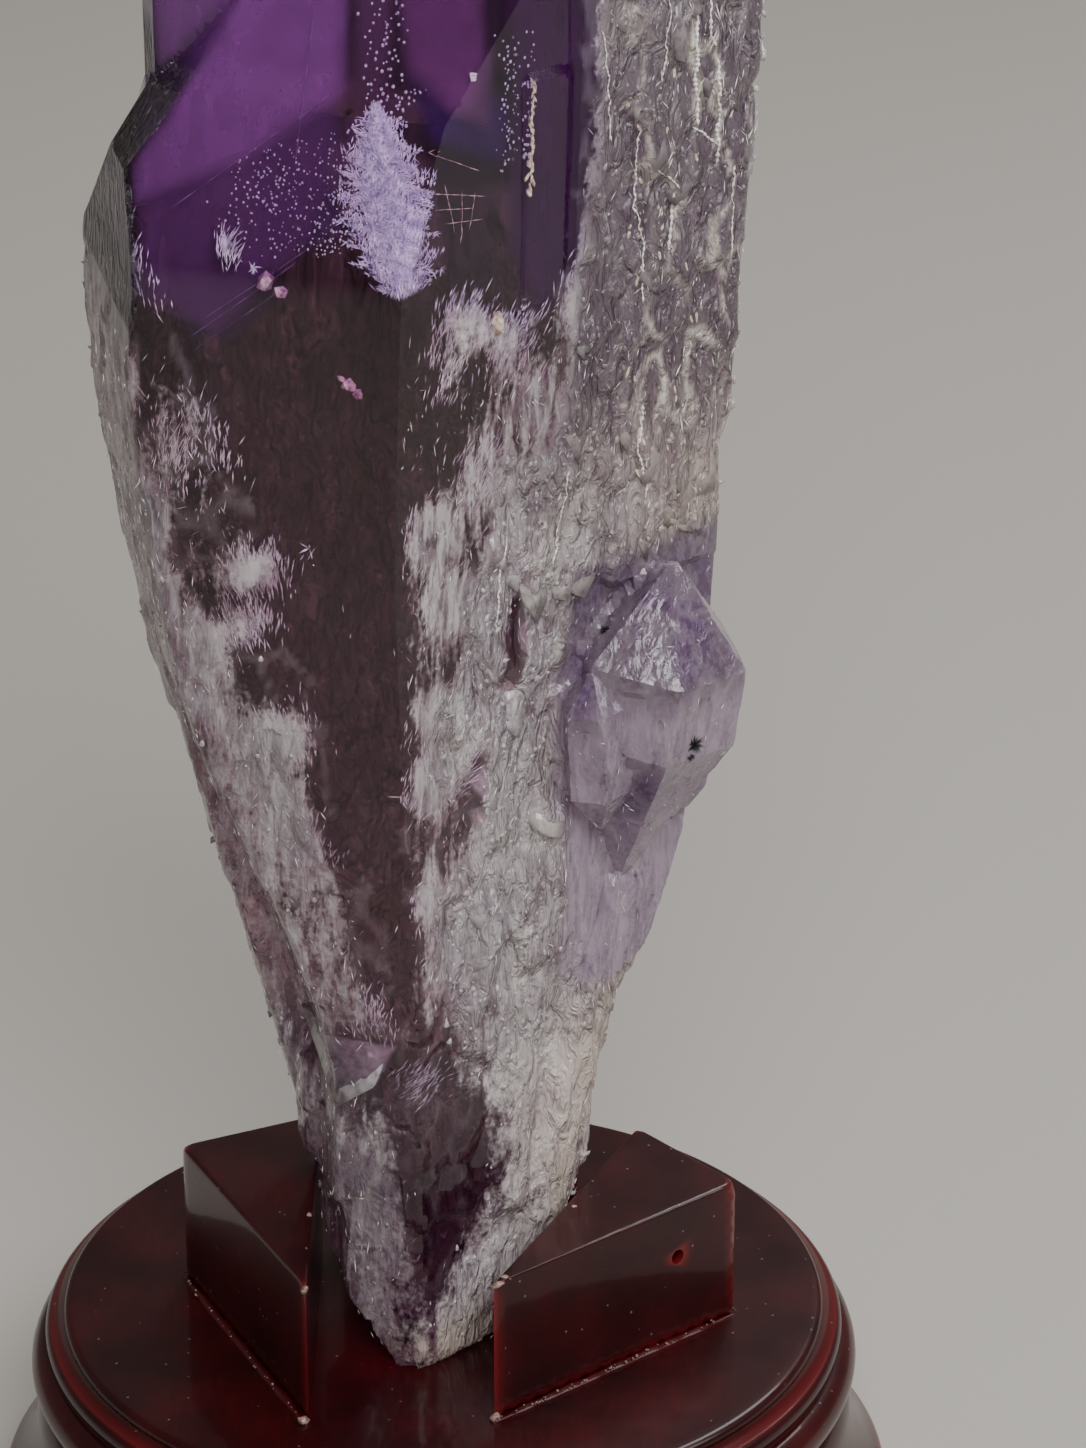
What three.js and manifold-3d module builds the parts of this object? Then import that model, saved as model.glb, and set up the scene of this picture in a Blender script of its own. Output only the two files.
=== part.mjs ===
// An amethyst point standing root down in a turned, lacquered stand.
// Millimetres, +Z up. The origin is the centre of the stand's underside.
import * as THREE from 'three';
import { mergeVertices } from 'three/addons/utils/BufferGeometryUtils.js';
import Module from 'manifold-3d';

// ---------- driving dimensions ----------

const baseHeight = 45;
const flatRadius = 72.2;
const topRingRadius = 80.3;
const footRadius = 87.5;
const baseSegments = 64;
const curvePoints = 4;

const blockHeight = 28.8;
const blockLongLeg = 61.4;
const blockShortLeg = 30.2;
const rearBlockLeg = 35;
const blockRounding = 0.8;
const nailHoleRadius = 1.5;
const nailHoleDepth = 4;

// Where each block's square corner stands, and the turn of its first leg from +X.
const leftBlockPlace = { x: -50.8, y: 5.9, turn: -64.3 };
const rightBlockPlace = { x: 56.4, y: -8.6, turn: 130.4 };
const rearBlockPlace = { x: 2.5, y: 43.6, turn: -135 };

// The crystal's six sides, each with the direction that it faces and its distance from the
// crystal's axis at the widest level. The directions are 60 degrees apart, as on every quartz.
const sides = {
  front: { direction: -107, distance: 43.5 },
  right: { direction: -47, distance: 28.8 },
  rightEnd: { direction: 13, distance: 57.4 },
  back: { direction: 73, distance: 45 },
  leftBack: { direction: 133, distance: 58 },
  left: { direction: 193, distance: 53.6 },
};
const sideOrder = ['front', 'right', 'rightEnd', 'back', 'leftBack', 'left'];
const bodyTop = 330;

// Share of the full distance at each height above the stand's flat: the root is the narrow end.
const frontShare = [[0, 0.36], [30, 0.5], [60, 0.62], [85, 0.74], [110, 0.86], [160, 0.96], [200, 1]];
const rightShare = [
  [0, 0.3], [20, 0.43], [30, 0.49], [42, 0.51], [63, 0.6], [76, 0.715], [95, 0.815], [128, 0.86],
  [152, 0.895], [173, 0.925], [198, 0.98], [226, 1.02], [260, 1.04],
];
const backShare = [[0, 0.42], [30, 0.54], [60, 0.62], [85, 0.72], [110, 0.84], [160, 0.96], [200, 1]];
const leftShare = [
  [0, 0.33], [18, 0.38], [29.5, 0.388], [34, 0.43], [61, 0.44], [73, 0.49], [85, 0.565],
  [97, 0.65], [117, 0.805], [138, 0.935], [152, 0.985], [179, 1.055], [200, 1.085], [215, 1.06],
];
// How far the root's axis stands forward of the stand's centre.
const axisForward = [[0, 15], [30, 9], [60, 5], [110, 0]];

// The pointed end: each face leans in from its side at the given height, by its angle from upright.
const naturalLean = 38.2;
const pointFaces = [
  { side: 'front', height: 222, lean: 17 },
  { side: 'front', height: 248, lean: naturalLean },
  { side: 'right', height: 272, lean: naturalLean },
  { side: 'rightEnd', height: 261, lean: naturalLean },
  { side: 'back', height: 266, lean: naturalLean },
  { side: 'leftBack', height: 240, lean: naturalLean },
  { side: 'left', height: 236, lean: naturalLean },
];

// Crystals that stand at their own angle on the big one, from foot to tip.
const freeCrystals = [
  // the lavender crystal low on the right, and its small neighbours
  { foot: [33, -1, 88], tip: [43, -7, 157], radius: 17, footTaper: 2.1 },
  { foot: [30, -12, 104], tip: [28, -17, 139], radius: 6.5, footTaper: 1.6 },
  { foot: [40, 9, 92], tip: [47, 8, 136], radius: 8, footTaper: 1.8 },
  // the small shoulder where the root leaves the stand
  { foot: [-20, -6, 30], tip: [-20, -8, 66], radius: 8, footTaper: 0.9 },
];

// Ribs grown in line with the big crystal. Each stands proud of one side, at a place along that
// side, from one height to another.
const ribs = [
  // the crust on the right, with the scalloped step at its lower end
  { side: 'right', along: -1, proud: 1.4, from: 151, to: 262, radius: 9 },
  { side: 'right', along: 12, proud: 2.6, from: 143, to: 281, radius: 12 },
  { side: 'right', along: 26, proud: 3.2, from: 141, to: 272, radius: 11 },
  { side: 'right', along: 40, proud: 2.4, from: 139, to: 290, radius: 12 },
  { side: 'rightEnd', along: 6, proud: 1.5, from: 128, to: 277, radius: 10 },
  // down the root on the right
  { side: 'right', along: -12, proud: 1.2, from: 26, to: 136, radius: 7 },
  { side: 'right', along: 6, proud: 2, from: 18, to: 119, radius: 9 },
  { side: 'right', along: 34, proud: 1.6, from: 14, to: 98, radius: 8 },
  // the left side, with the frosted strip behind the shoulder
  { side: 'left', along: -8, proud: -8, from: 176, to: 284, radius: 12 },
  { side: 'left', along: -24, proud: 1.2, from: 40, to: 150, radius: 9 },
  { side: 'leftBack', along: 14, proud: 1.4, from: 30, to: 178, radius: 13 },
  { side: 'leftBack', along: -12, proud: 2, from: 96, to: 252, radius: 14 },
  // the back
  { side: 'back', along: 26, proud: 1.6, from: 62, to: 268, radius: 14 },
  { side: 'back', along: 2, proud: 2.6, from: 112, to: 297, radius: 15 },
  { side: 'back', along: -22, proud: 1.8, from: 84, to: 281, radius: 13 },
  { side: 'back', along: -4, proud: 1.2, from: 20, to: 120, radius: 10 },
];

const finishes = {
  amethyst: new THREE.MeshStandardMaterial({ color: 0x6b4a7d, roughness: 0.35, metalness: 0 }),
  lacquer: new THREE.MeshStandardMaterial({ color: 0x4a0713, roughness: 0.15, metalness: 0 }),
};

const wasm = await Module();
wasm.setup();

// ---------- helpers ----------

function solidOf(geometry) {
  const bare = geometry.index ? geometry.toNonIndexed() : geometry.clone();
  for (const name of Object.keys(bare.attributes)) {
    if (name !== 'position') bare.deleteAttribute(name);
  }
  const merged = mergeVertices(bare, 1e-4);
  const index = Array.from(merged.index.array);
  const triangles = [];
  for (let i = 0; i < index.length; i += 3) {
    const [a, b, c] = index.slice(i, i + 3);
    if (a !== b && b !== c && c !== a) triangles.push(a, b, c);
  }
  const mesh = new wasm.Mesh({
    numProp: 3,
    vertProperties: new Float32Array(merged.attributes.position.array),
    triVerts: new Uint32Array(triangles),
  });
  return new wasm.Manifold(mesh);
}

function geometryOf(solid) {
  const mesh = solid.getMesh();
  const geometry = new THREE.BufferGeometry();
  geometry.setAttribute('position', new THREE.BufferAttribute(mesh.vertProperties, 3));
  geometry.setIndex(new THREE.BufferAttribute(mesh.triVerts, 1));
  geometry.computeVertexNormals();
  return geometry;
}

function named(name, solid, finish) {
  const mesh = new THREE.Mesh(geometryOf(solid), finish);
  mesh.name = name;
  return mesh;
}

function unitAt(degrees) {
  const angle = THREE.MathUtils.degToRad(degrees);
  return new THREE.Vector2(Math.cos(angle), Math.sin(angle));
}

// Reads a list of [height, value] stations, straight between them.
function between(stations, height) {
  const next = stations.findIndex(([level]) => level >= height);
  if (next === -1) return stations[stations.length - 1][1];
  if (next === 0) return stations[0][1];
  const [lowLevel, lowValue] = stations[next - 1];
  const [highLevel, highValue] = stations[next];
  return THREE.MathUtils.mapLinear(height, lowLevel, highLevel, lowValue, highValue);
}

// Takes away what lies past the plane through point with this outward normal.
function cutPast(solid, point, normal) {
  const size = 400;
  const slab = new THREE.BoxGeometry(2 * size, 2 * size, size);
  slab.translate(0, 0, size / 2);
  const up = new THREE.Vector3(0, 0, 1);
  slab.applyQuaternion(new THREE.Quaternion().setFromUnitVectors(up, normal.clone().normalize()));
  slab.translate(point.x, point.y, point.z);
  return solid.subtract(solidOf(slab));
}

// ---------- the turned base ----------

function baseProfile() {
  const outline = new THREE.Path();
  outline.moveTo(0, 0);
  outline.lineTo(footRadius - 2, 0);
  outline.quadraticCurveTo(footRadius, 0, footRadius, 2);
  outline.lineTo(footRadius, 4.5);
  outline.bezierCurveTo(83.5, 8, 80.5, 15, 79.6, 22);
  outline.quadraticCurveTo(79.2, 27, 76, 28.7);
  outline.absarc(topRingRadius - 4.3, 33.2, 4.3, -Math.PI / 2, Math.PI / 2, false);
  outline.absarc(75.2, 39.9, 2.2, -Math.PI / 3, Math.PI / 3, false);
  outline.lineTo(73.9, 42.6);
  outline.absarc(flatRadius, baseHeight - 1.5, 1.5, -Math.PI / 4, Math.PI / 2, false);
  outline.lineTo(0, baseHeight);
  return outline.getPoints(curvePoints);
}

function turnedBase() {
  const geometry = new THREE.LatheGeometry(baseProfile(), baseSegments);
  geometry.rotateX(Math.PI / 2);
  return solidOf(geometry);
}

// ---------- the wedge blocks ----------

// A right-angled wedge: its square corner at the origin, one leg along +X, the other along +Y.
function wedge(legX, legY) {
  const inset = blockRounding;
  const outline = new THREE.Shape();
  outline.moveTo(inset, inset);
  outline.lineTo(legX - 3 * inset, inset);
  outline.lineTo(inset, legY - 2 * inset);
  outline.closePath();
  const geometry = new THREE.ExtrudeGeometry(outline, {
    depth: blockHeight,
    bevelEnabled: true,
    bevelSize: inset,
    bevelThickness: inset,
    bevelSegments: 3,
  });
  geometry.translate(0, 0, -inset);
  return cutPast(solidOf(geometry), new THREE.Vector3(), new THREE.Vector3(0, 0, -1));
}

// The nail hole goes straight into the face along the leg on +Y.
function nailHole(alongFace, height) {
  const geometry = new THREE.CylinderGeometry(nailHoleRadius, nailHoleRadius, 2 * nailHoleDepth, 12);
  geometry.rotateZ(Math.PI / 2);
  geometry.translate(0, alongFace, height);
  return solidOf(geometry);
}

function placedBlock(name, solid, place) {
  const mesh = named(name, solid, finishes.lacquer);
  mesh.position.set(place.x, place.y, baseHeight);
  mesh.rotation.z = THREE.MathUtils.degToRad(place.turn);
  return mesh;
}

// ---------- the crystal ----------

function sideDistance(name, height) {
  const share = { front: frontShare, right: rightShare, rightEnd: rightShare, back: backShare };
  return sides[name].distance * between(share[name] ?? leftShare, height);
}

// Where two neighbouring sides meet at this height.
function edgePoint(name, nextName, height) {
  const a = unitAt(sides[name].direction);
  const b = unitAt(sides[nextName].direction);
  const distanceA = sideDistance(name, height);
  const distanceB = sideDistance(nextName, height);
  const turn = a.x * b.y - a.y * b.x;
  const x = (distanceA * b.y - distanceB * a.y) / turn;
  const y = (distanceB * a.x - distanceA * b.x) / turn;
  return [x, y - between(axisForward, height), height];
}

function crystalBody() {
  const levels = new Set([0, bodyTop]);
  for (const stations of [frontShare, rightShare, backShare, leftShare, axisForward]) {
    for (const [level] of stations) levels.add(level);
  }
  const heights = [...levels].sort((low, high) => low - high);
  const count = sideOrder.length;
  const positions = [];
  for (const height of heights) {
    sideOrder.forEach((name, i) => {
      positions.push(...edgePoint(name, sideOrder[(i + 1) % count], height));
    });
  }
  const faces = [];
  for (let ring = 0; ring < heights.length - 1; ring += 1) {
    for (let i = 0; i < count; i += 1) {
      const a = ring * count + i;
      const b = ring * count + ((i + 1) % count);
      faces.push(a, b, b + count, a, b + count, a + count);
    }
  }
  const topRing = (heights.length - 1) * count;
  for (let i = 1; i < count - 1; i += 1) {
    faces.push(0, i + 1, i);
    faces.push(topRing, topRing + i, topRing + i + 1);
  }
  const geometry = new THREE.BufferGeometry();
  geometry.setAttribute('position', new THREE.Float32BufferAttribute(positions, 3));
  geometry.setIndex(faces);
  return solidOf(geometry);
}

function withPoint(body) {
  let shape = body;
  for (const { side, height, lean } of pointFaces) {
    const out = unitAt(sides[side].direction);
    const reach = sideDistance(side, height);
    const rise = Math.tan(THREE.MathUtils.degToRad(lean));
    let inward = 0;
    if (side === 'front' && lean === naturalLean) {
      const [steepFace] = pointFaces;
      inward = (height - steepFace.height) * Math.tan(THREE.MathUtils.degToRad(steepFace.lean));
    }
    const point = new THREE.Vector3(out.x * (reach - inward), out.y * (reach - inward), height);
    shape = cutPast(shape, point, new THREE.Vector3(out.x, out.y, rise));
  }
  // the left shoulder
  shape = cutPast(shape, new THREE.Vector3(-61.5, 15, 219), new THREE.Vector3(-0.85, 0.15, 0.5));
  return shape;
}

// A six-sided prism with a point at each end, its sides in line with the big crystal's.
function smallCrystal(foot, tip, radius, footTaper = 1.1) {
  const along = tip.clone().sub(foot);
  const length = along.length();
  const tipHeight = Math.min(radius * 1.1, length / 3);
  const profile = [
    new THREE.Vector2(0, 0),
    new THREE.Vector2(radius, radius * footTaper),
    new THREE.Vector2(radius, length - tipHeight),
    new THREE.Vector2(0, length),
  ];
  const geometry = new THREE.LatheGeometry(profile, 6);
  geometry.rotateX(Math.PI / 2);
  geometry.rotateZ(THREE.MathUtils.degToRad(sides.front.direction));
  const up = new THREE.Vector3(0, 0, 1);
  geometry.applyQuaternion(new THREE.Quaternion().setFromUnitVectors(up, along.normalize()));
  geometry.translate(foot.x, foot.y, foot.z);
  return solidOf(geometry);
}

// The middle of a rib at this height.
function ribPoint({ side, along, proud, radius }, height) {
  const out = unitAt(sides[side].direction);
  const reach = sideDistance(side, height) + proud - radius * Math.cos(Math.PI / 6);
  const shift = along * sideDistance(side, height) / sides[side].distance;
  const x = out.x * reach - out.y * shift;
  const y = out.y * reach + out.x * shift;
  return new THREE.Vector3(x, y - between(axisForward, height), height);
}

function amethystCrystal() {
  let shape = withPoint(crystalBody());
  for (const { foot, tip, radius, footTaper } of freeCrystals) {
    const ends = [new THREE.Vector3(...foot), new THREE.Vector3(...tip)];
    shape = shape.add(smallCrystal(...ends, radius, footTaper));
  }
  for (const rib of ribs) {
    shape = shape.add(smallCrystal(ribPoint(rib, rib.from), ribPoint(rib, rib.to), rib.radius));
  }
  // the broken facet low on the root's left
  shape = cutPast(shape, new THREE.Vector3(-8.5, -30, 0), new THREE.Vector3(-0.84, -0.1, -0.5));
  return shape;
}

// ---------- the whole ----------

const amethystPoint = new THREE.Group();

amethystPoint.add(named('turned_base', turnedBase(), finishes.lacquer));
amethystPoint.add(placedBlock('left_block', wedge(blockLongLeg, blockShortLeg), leftBlockPlace));
amethystPoint.add(placedBlock(
  'right_block',
  wedge(blockShortLeg, blockLongLeg).subtract(nailHole(15, blockHeight * 0.62)),
  rightBlockPlace,
));
amethystPoint.add(placedBlock('rear_block', wedge(rearBlockLeg, rearBlockLeg), rearBlockPlace));

const crystal = named('amethyst_crystal', amethystCrystal(), finishes.amethyst);
crystal.position.z = baseHeight;
amethystPoint.add(crystal);

export default amethystPoint;
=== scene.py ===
"""An amethyst point standing root down between wooden blocks on a turned, lacquered stand.

Lengths in the tables are in millimetres. Heights on the crystal count from the stand's flat.
"""

import math

import bmesh
import bpy
import numpy as np
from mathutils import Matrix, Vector, kdtree, noise
from mathutils.bvhtree import BVHTree


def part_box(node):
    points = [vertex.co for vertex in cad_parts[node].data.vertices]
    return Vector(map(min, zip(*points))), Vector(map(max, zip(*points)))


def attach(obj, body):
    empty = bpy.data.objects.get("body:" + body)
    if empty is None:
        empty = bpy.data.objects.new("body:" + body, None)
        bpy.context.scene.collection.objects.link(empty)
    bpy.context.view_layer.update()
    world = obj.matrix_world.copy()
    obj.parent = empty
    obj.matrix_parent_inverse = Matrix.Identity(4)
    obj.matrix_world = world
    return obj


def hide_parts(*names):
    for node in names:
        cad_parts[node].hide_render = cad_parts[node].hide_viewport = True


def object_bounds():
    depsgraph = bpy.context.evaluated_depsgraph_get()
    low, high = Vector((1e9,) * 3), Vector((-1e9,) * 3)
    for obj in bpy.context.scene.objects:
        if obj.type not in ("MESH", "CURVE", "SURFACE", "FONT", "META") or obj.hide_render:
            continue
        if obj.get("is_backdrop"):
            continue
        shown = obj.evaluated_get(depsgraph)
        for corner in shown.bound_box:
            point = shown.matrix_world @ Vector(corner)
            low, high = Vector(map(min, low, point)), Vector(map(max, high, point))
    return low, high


bl_info = {
    "name": "Amethyst Point on a Turned Stand",
    "version": (1, 0, 0),
    "blender": (4, 5, 0),
    "location": "View3D > Sidebar > Amethyst",
    "description": "Grows an amethyst point with what is sealed in it, on its lacquered stand",
    "category": "Add Mesh",
}

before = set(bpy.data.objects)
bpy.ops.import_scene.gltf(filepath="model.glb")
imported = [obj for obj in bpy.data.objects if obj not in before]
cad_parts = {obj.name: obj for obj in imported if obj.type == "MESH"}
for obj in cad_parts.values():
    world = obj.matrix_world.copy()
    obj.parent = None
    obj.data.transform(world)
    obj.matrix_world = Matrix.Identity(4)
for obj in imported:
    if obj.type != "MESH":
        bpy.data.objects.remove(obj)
CAD_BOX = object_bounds()
MM = 0.001
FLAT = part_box("turned_base")[1].z
BODY = "root"
GEM_SLOT = "amethyst"
WOOD_SLOT = "lacquered_wood"
CRYSTAL = "amethyst_body"

# ---------- where things are on the crystal ----------

# The clear window in the front face: its left border, as height and x.
WINDOW_LEFT = (
    (62, -7), (80, -8.2), (89, -9.4), (101, -11.9), (115, -16.2), (129, -20.4), (141, -25.5),
    (156, -32.3), (171, -35.5), (184, -39.5), (197, -40), (206, -45), (209, -48.5), (215, -54.5),
    (222, -66),
)
# The milky crust on the right: its left border, as height and x.
CRUST_LEFT = (
    (60, -4), (92, -2.9), (111, -1.9), (140, 1), (166, 6.5), (179, 11.7), (189, 19.7),
    (207, 20.8), (216, 21.5), (225, 24.2), (243, 26.5), (262, 27.3), (310, 28.5),
)
# The lower end of the violet, as x and height.
VIOLET_FLOOR = (
    (-66, 206), (-62, 206), (-46, 214), (-41, 209), (-32, 216), (-24, 221), (-14, 218), (2, 217),
    (12, 207), (22, 206), (30, 214),
)
VIOLET_FLOOR_BEHIND = 212
# Where the front face starts to lean back, and how far up and down the bend reaches.
FRONT_BEND = 222
FRONT_BEND_REACH = 16
FRONT_BEND_PASSES = 70
# Edges that turn by more degrees than this look sharp: in clear faces, and in the crust.
CLEAR_CREASE = 14
CRUST_CREASE = 70
# The lavender crystal low on the right: foot, tip and reach.
LAVENDER_AXIS = ((33, -1, 88), (43, -7, 157))
LAVENDER_REACH = 18.6
# How much less a step towards the front counts than one across.
LAVENDER_FLATTEN = 0.6
# How fast the skin's zones waver, across, deep and up.
SWAY_SIZE = (9, 9, 22)
# Where each zone fades in: where it starts, where it is full and how far its border wavers.
# Those ending in _face go by how much of the normal points to the front or the left, the four
# along a border by the distance past it, lavender_reach by that from its axis, warm_behind and
# seam_sway by the waver alone, and the rest by height or place across.
FADES = {
    "front_face": (0.12, 0.4),
    "left_face": (0.5, 0.8),
    "violet_floor": (-5, 5, 6),
    "violet_behind": (-14, 14, 14),
    "left_strip": (-5, 11, 8),
    "crust": (-4, 7, 6),
    "streak_side": (-8, -1),
    "streak_top": (216, 190),
    "streak_foot": (50, 75),
    "root_milk": (84, 62),
    "end_crust_side": (24, 34),
    "end_crust_rise": (-30, 10),
    "lavender_reach": (LAVENDER_REACH + 1, LAVENDER_REACH - 2),
    "lavender_top": (160, 153),
    "lavender_side": (19, 26, 3),
    "shoulder_face": (0.3, 0.6),
    "shoulder_foot": (203, 210),
    "stepped_face": (-0.1, 0.1),
    "stepped_top": (262, 250),
    "stepped_side": (-38, -46),
    "warm_side": (14, 44, 14),
    "warm_top": (225, 165),
    "warm_foot": (14, 3),
    "warm_root_side": (0, 30),
    "warm_root": (80, 40),
    "warm_behind": (-0.1, 0.3),
    "smooth_root": (75, 50),
    "crust_shade": (160, 210),
    "strip_shade": (20, 90),
    "root_shade_side": (0, -12),
    "root_shade": (60, 40),
    "lavender_shade": (128, 142),
    "root_clear_shade": (80, 62),
    "seam_side": (31, 39),
    "seam_foot": (160, 195),
    "seam_sway": (-0.2, 0.25),
    "fleck_side": (34, 44),
    "fleck_foot": (150, 185),
}

# Soft white clouds under the front faces: x, height, reach across, reach up, lean in degrees
# towards +X, how milky, and how many fine strokes lie in each.
CLOUDS = (
    (-31.2, 165.4, 6, 4.5, -35, 0.75, 190),
    (-33.2, 154.7, 6, 4, -40, 0.6, 120),
    (-51, 172, 3.5, 8, 12, 0.5, 70),
    (-40.4, 150.7, 3, 6, -25, 0.5, 80),
    (-28.5, 131.7, 8, 5, -45, 0.6, 170),
    (-25.6, 115, 5, 9, -28, 0.5, 140),
    (-0.4, 173.4, 4, 6, 0, 0.6, 90),
    (6.4, 157.1, 7, 5, 30, 0.6, 150),
    (1.4, 137.9, 5, 4, 20, 0.6, 110),
    (-0.9, 124.6, 4, 6, 10, 0.5, 110),
    (-1.1, 101.3, 3, 5, 0, 0.45, 60),
    (2.9, 88.1, 4, 5, 10, 0.4, 70),
    (12, 110, 3, 14, 6, 0.5, 120),
    (17.6, 193, 5, 6, 0, 0.45, 60),
    (11, 208, 9, 4, 0, 0.5, 90),
    (-12, 76, 4, 6, -30, 0.4, 60),
    (-3, 62, 5, 4, 20, 0.35, 60),
    (-12, 34, 4, 12, -20, 0.4, 80),
    (-54, 222, 4, 9, -42, 0, 90),
    (-45, 187, 5, 9, -20, 0.2, 70),
    (-38, 191, 4, 8, -25, 0.12, 40),
    (-50, 160, 4, 9, -15, 0.3, 90),
    (-42, 140, 4, 8, -25, 0.3, 80),
    (9, 182, 5, 8, 10, 0.2, 90),
    (6, 128, 3, 9, 15, 0.2, 90),
    (5, 213, 4.5, 3.5, 0, 0.5, 80),
    (3, 204, 3, 6, 0, 0.25, 50),
    (14, 203, 4, 5, 0, 0.15, 60),
    (25.5, 209, 3.5, 8, 0, 0.45, 60),
    (-34.6, 225, 2, 3, -20, 0.4, 40),
)
# How many times more strokes are drawn than the table says.
FEATHER_CROWDING = 2.4
# Dark clear gaps in the milk: x, height, reach across, reach up, lean, and how clear.
GAPS = (
    (14.3, 148, 1.8, 10, 4, 1.2),
    (-1, 191, 7, 10, 0, 0.6),
    (7, 120, 2.2, 14, 8, 0.7),
    (-4, 66, 7, 8, -20, 0.6),
    (2.5, 47, 8, 15, -10, 0.95),
    (0, 28, 5, 12, -6, 0.8),
    (26, 136, 3.5, 9, 10, 0.6),
    (-17, 62, 6, 7, -30, 0.4),
)
# Violet patches low on the crystal: x, height, reach across, reach up, lean, and how violet. The one
# at 41, 149 also darkens the small crystal's top, which the lamps light from above: painted shade.
VIOLET_PATCHES = (
    (26, 135, 3.2, 9, 10, 0.9),
    (37, 113, 4, 8, 12, 1),
    (45, 141, 4, 6, 50, 0.6),
    (41, 149, 9, 5, 10, 0.85),
    (47, 104, 3, 10, 10, 0.6),
    (-37, 203, 7, 9, -20, 0.55),
    (-17, 60, 7, 7, -30, 0.35),
)

# The snowy plume: height, left border and right border.
PLUME = (
    (250.5, -10.4, -8.4), (247.5, -11.8, -5.8), (244, -13.2, -4), (237, -14.3, -1.4),
    (231, -13.5, -0.2), (226.5, -12, 0.6), (222.5, -10.4, 1.2), (219.5, -8, 0.7),
)
PLUME_NEEDLES = 8600
# White flecks under the milk, and painted glints in the crust's seams, white strokes that stand in
# for highlights: number, shallowest and deepest, longest and widest. Real ones are finer; they
# are drawn this wide to show.
MILK_FLECKS = (6400, -0.04, 0.4, 2.4, 0.22)
PAINTED_SEAM_GLINTS = (1150, -0.08, 0.16, 3.6, 0.24)
# Strings of bubbles: from x and height, to x and height, half width, number and radius.
BUBBLE_BANDS = (
    (-7.4, 268, -8.4, 244, 2.4, 110, 0.27),
    (-10, 243, -15, 226, 4.2, 230, 0.21),
    (15.4, 260, 14.8, 237, 1.7, 110, 0.25),
    (-25, 243, -20, 226, 6.5, 230, 0.18),
    (-29, 238, -30, 230, 4.5, 50, 0.2),
    (-3, 253, -12, 246, 3, 50, 0.22),
)
# Growth zones of the point, which differ in colour: outline as x and height, how deep they lie
# under the front (1) or the back (-1), how strongly each shows, and its colour. Their sheets
# carry painted light: the bright ones paint light let through the zones, and the darkest ones
# paint the dark of internal reflections.
GROWTH_ZONES_AND_PAINTED_LIGHT = (
    (
        ((-52, 228), (-52, 262), (-36, 280), (-12, 284), (-13, 249), (-31, 237)),
        3.2, 1, 0.62, "#7E4C84",
    ),
    (
        ((-51, 213), (-51, 234), (-31, 241), (-14, 251), (-17, 228), (-36, 207)),
        4.6, 1, 0.62, "#5E3264",
    ),
    (((-33, 244), (-14, 249), (-12, 227), (-27, 220)), 6, 1, 0.45, "#5C3A68"),
    (((-7, 286), (-6, 262), (-4.5, 253), (10.3, 243), (11, 258), (9, 284)), 3.2, 1, 0.6, "#683A66"),
    (((-6, 256), (-1, 244), (10, 237), (14, 238), (14, 250), (3, 254)), 4.6, 1, 0.74, "#34094C"),
    (
        ((12, 280), (24, 280), (31, 262), (32, 219), (17, 207), (11, 222), (12.5, 250)),
        3.2, 1, 0.9, "#380A3C",
    ),
    (((-2, 246), (10, 241), (12, 214), (0, 215)), 7, 1, 0.5, "#2C1A2C"),
    (((-44, 226), (-28, 226), (-22, 217), (-32, 206), (-42, 206)), 6.4, 1, 0.5, "#44284C"),
    (((-38, 217), (-38, 248), (-24, 272), (-6, 276), (-6, 217)), 4, -1, 0.5, "#562A7A"),
    (((-3, 215), (-3, 278), (12, 268), (24, 240), (24, 215)), 4, -1, 0.5, "#6E3F86"),
    (((27, 216), (27, 244), (36, 238), (42, 217)), 4, -1, 0.5, "#452060"),
)
GROWTH_ZONE_THICKNESS = 0.8
GROWTH_ZONE_CORNERS = 64
# How far in from its outline a growth zone fades.
GROWTH_ZONE_FADE = 3.5
# Bright threads that run down the crust's seams: from x and height, to x and height, and width.
THREADS = (
    (46, 256, 46.5, 236, 0.8),
    (50, 247, 50, 227.5, 0.75),
    (38.6, 231.5, 43.2, 225.6, 0.5),
    (42.3, 224.5, 41.5, 214, 0.6),
    (36.4, 238, 36.9, 206, 0.42),
    (53.3, 226.5, 53, 209.5, 0.4),
    (45.7, 235.5, 50.2, 231, 0.5),
    (37.3, 186, 37.6, 168, 0.75),
    (29.5, 258, 31, 238, 0.4),
    (48.5, 264, 49.5, 250, 0.6),
    (41, 262, 40, 246, 0.4),
    (12.5, 168, 11, 150, 0.4),
    (24, 178, 21, 160, 0.35),
)
# Straight growth lines in the violet, and the brown net beside the plume, in the same way.
GROWTH_LINES = (
    (-42, 208, -23, 223.5, 0.2),
    (-41, 206, -25, 219, 0.16),
    (-39, 212, -21, 226, 0.16),
    (-44, 231, -16, 252, 0.18),
    (-20, 262, -23, 240, 0.14),
)
BROWN_NET = (
    (1.5, 236, 10, 233, 0.22),
    (2, 233, 8, 231.5, 0.2),
    (3.5, 237, 5, 228, 0.18),
    (6.5, 235, 6, 226, 0.2),
    (8.5, 234, 7.5, 228, 0.16),
    (4, 230, 9.5, 229, 0.16),
    (0.5, 244, 9, 238, 0.18),
)
# Beige clay grains: x, height, depth, and reach across, deep and up.
CLAY_GRAINS = ((11.4, 209.6, 0.6, (2.1, 1.2, 1.9)), (17.9, 193, 0.8, (0.9, 0.7, 0.8)))
# The cream thread of tiny grains: its upper end's x and height, how far it runs, and how many.
CLAY_THREAD = (17.9, 252, -0.9, -20, 34)
# Stray grains on the crust: their number, and the range of their x and heights.
CLAY_STRAYS = (26, (32, 47), (165, 250))
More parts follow.
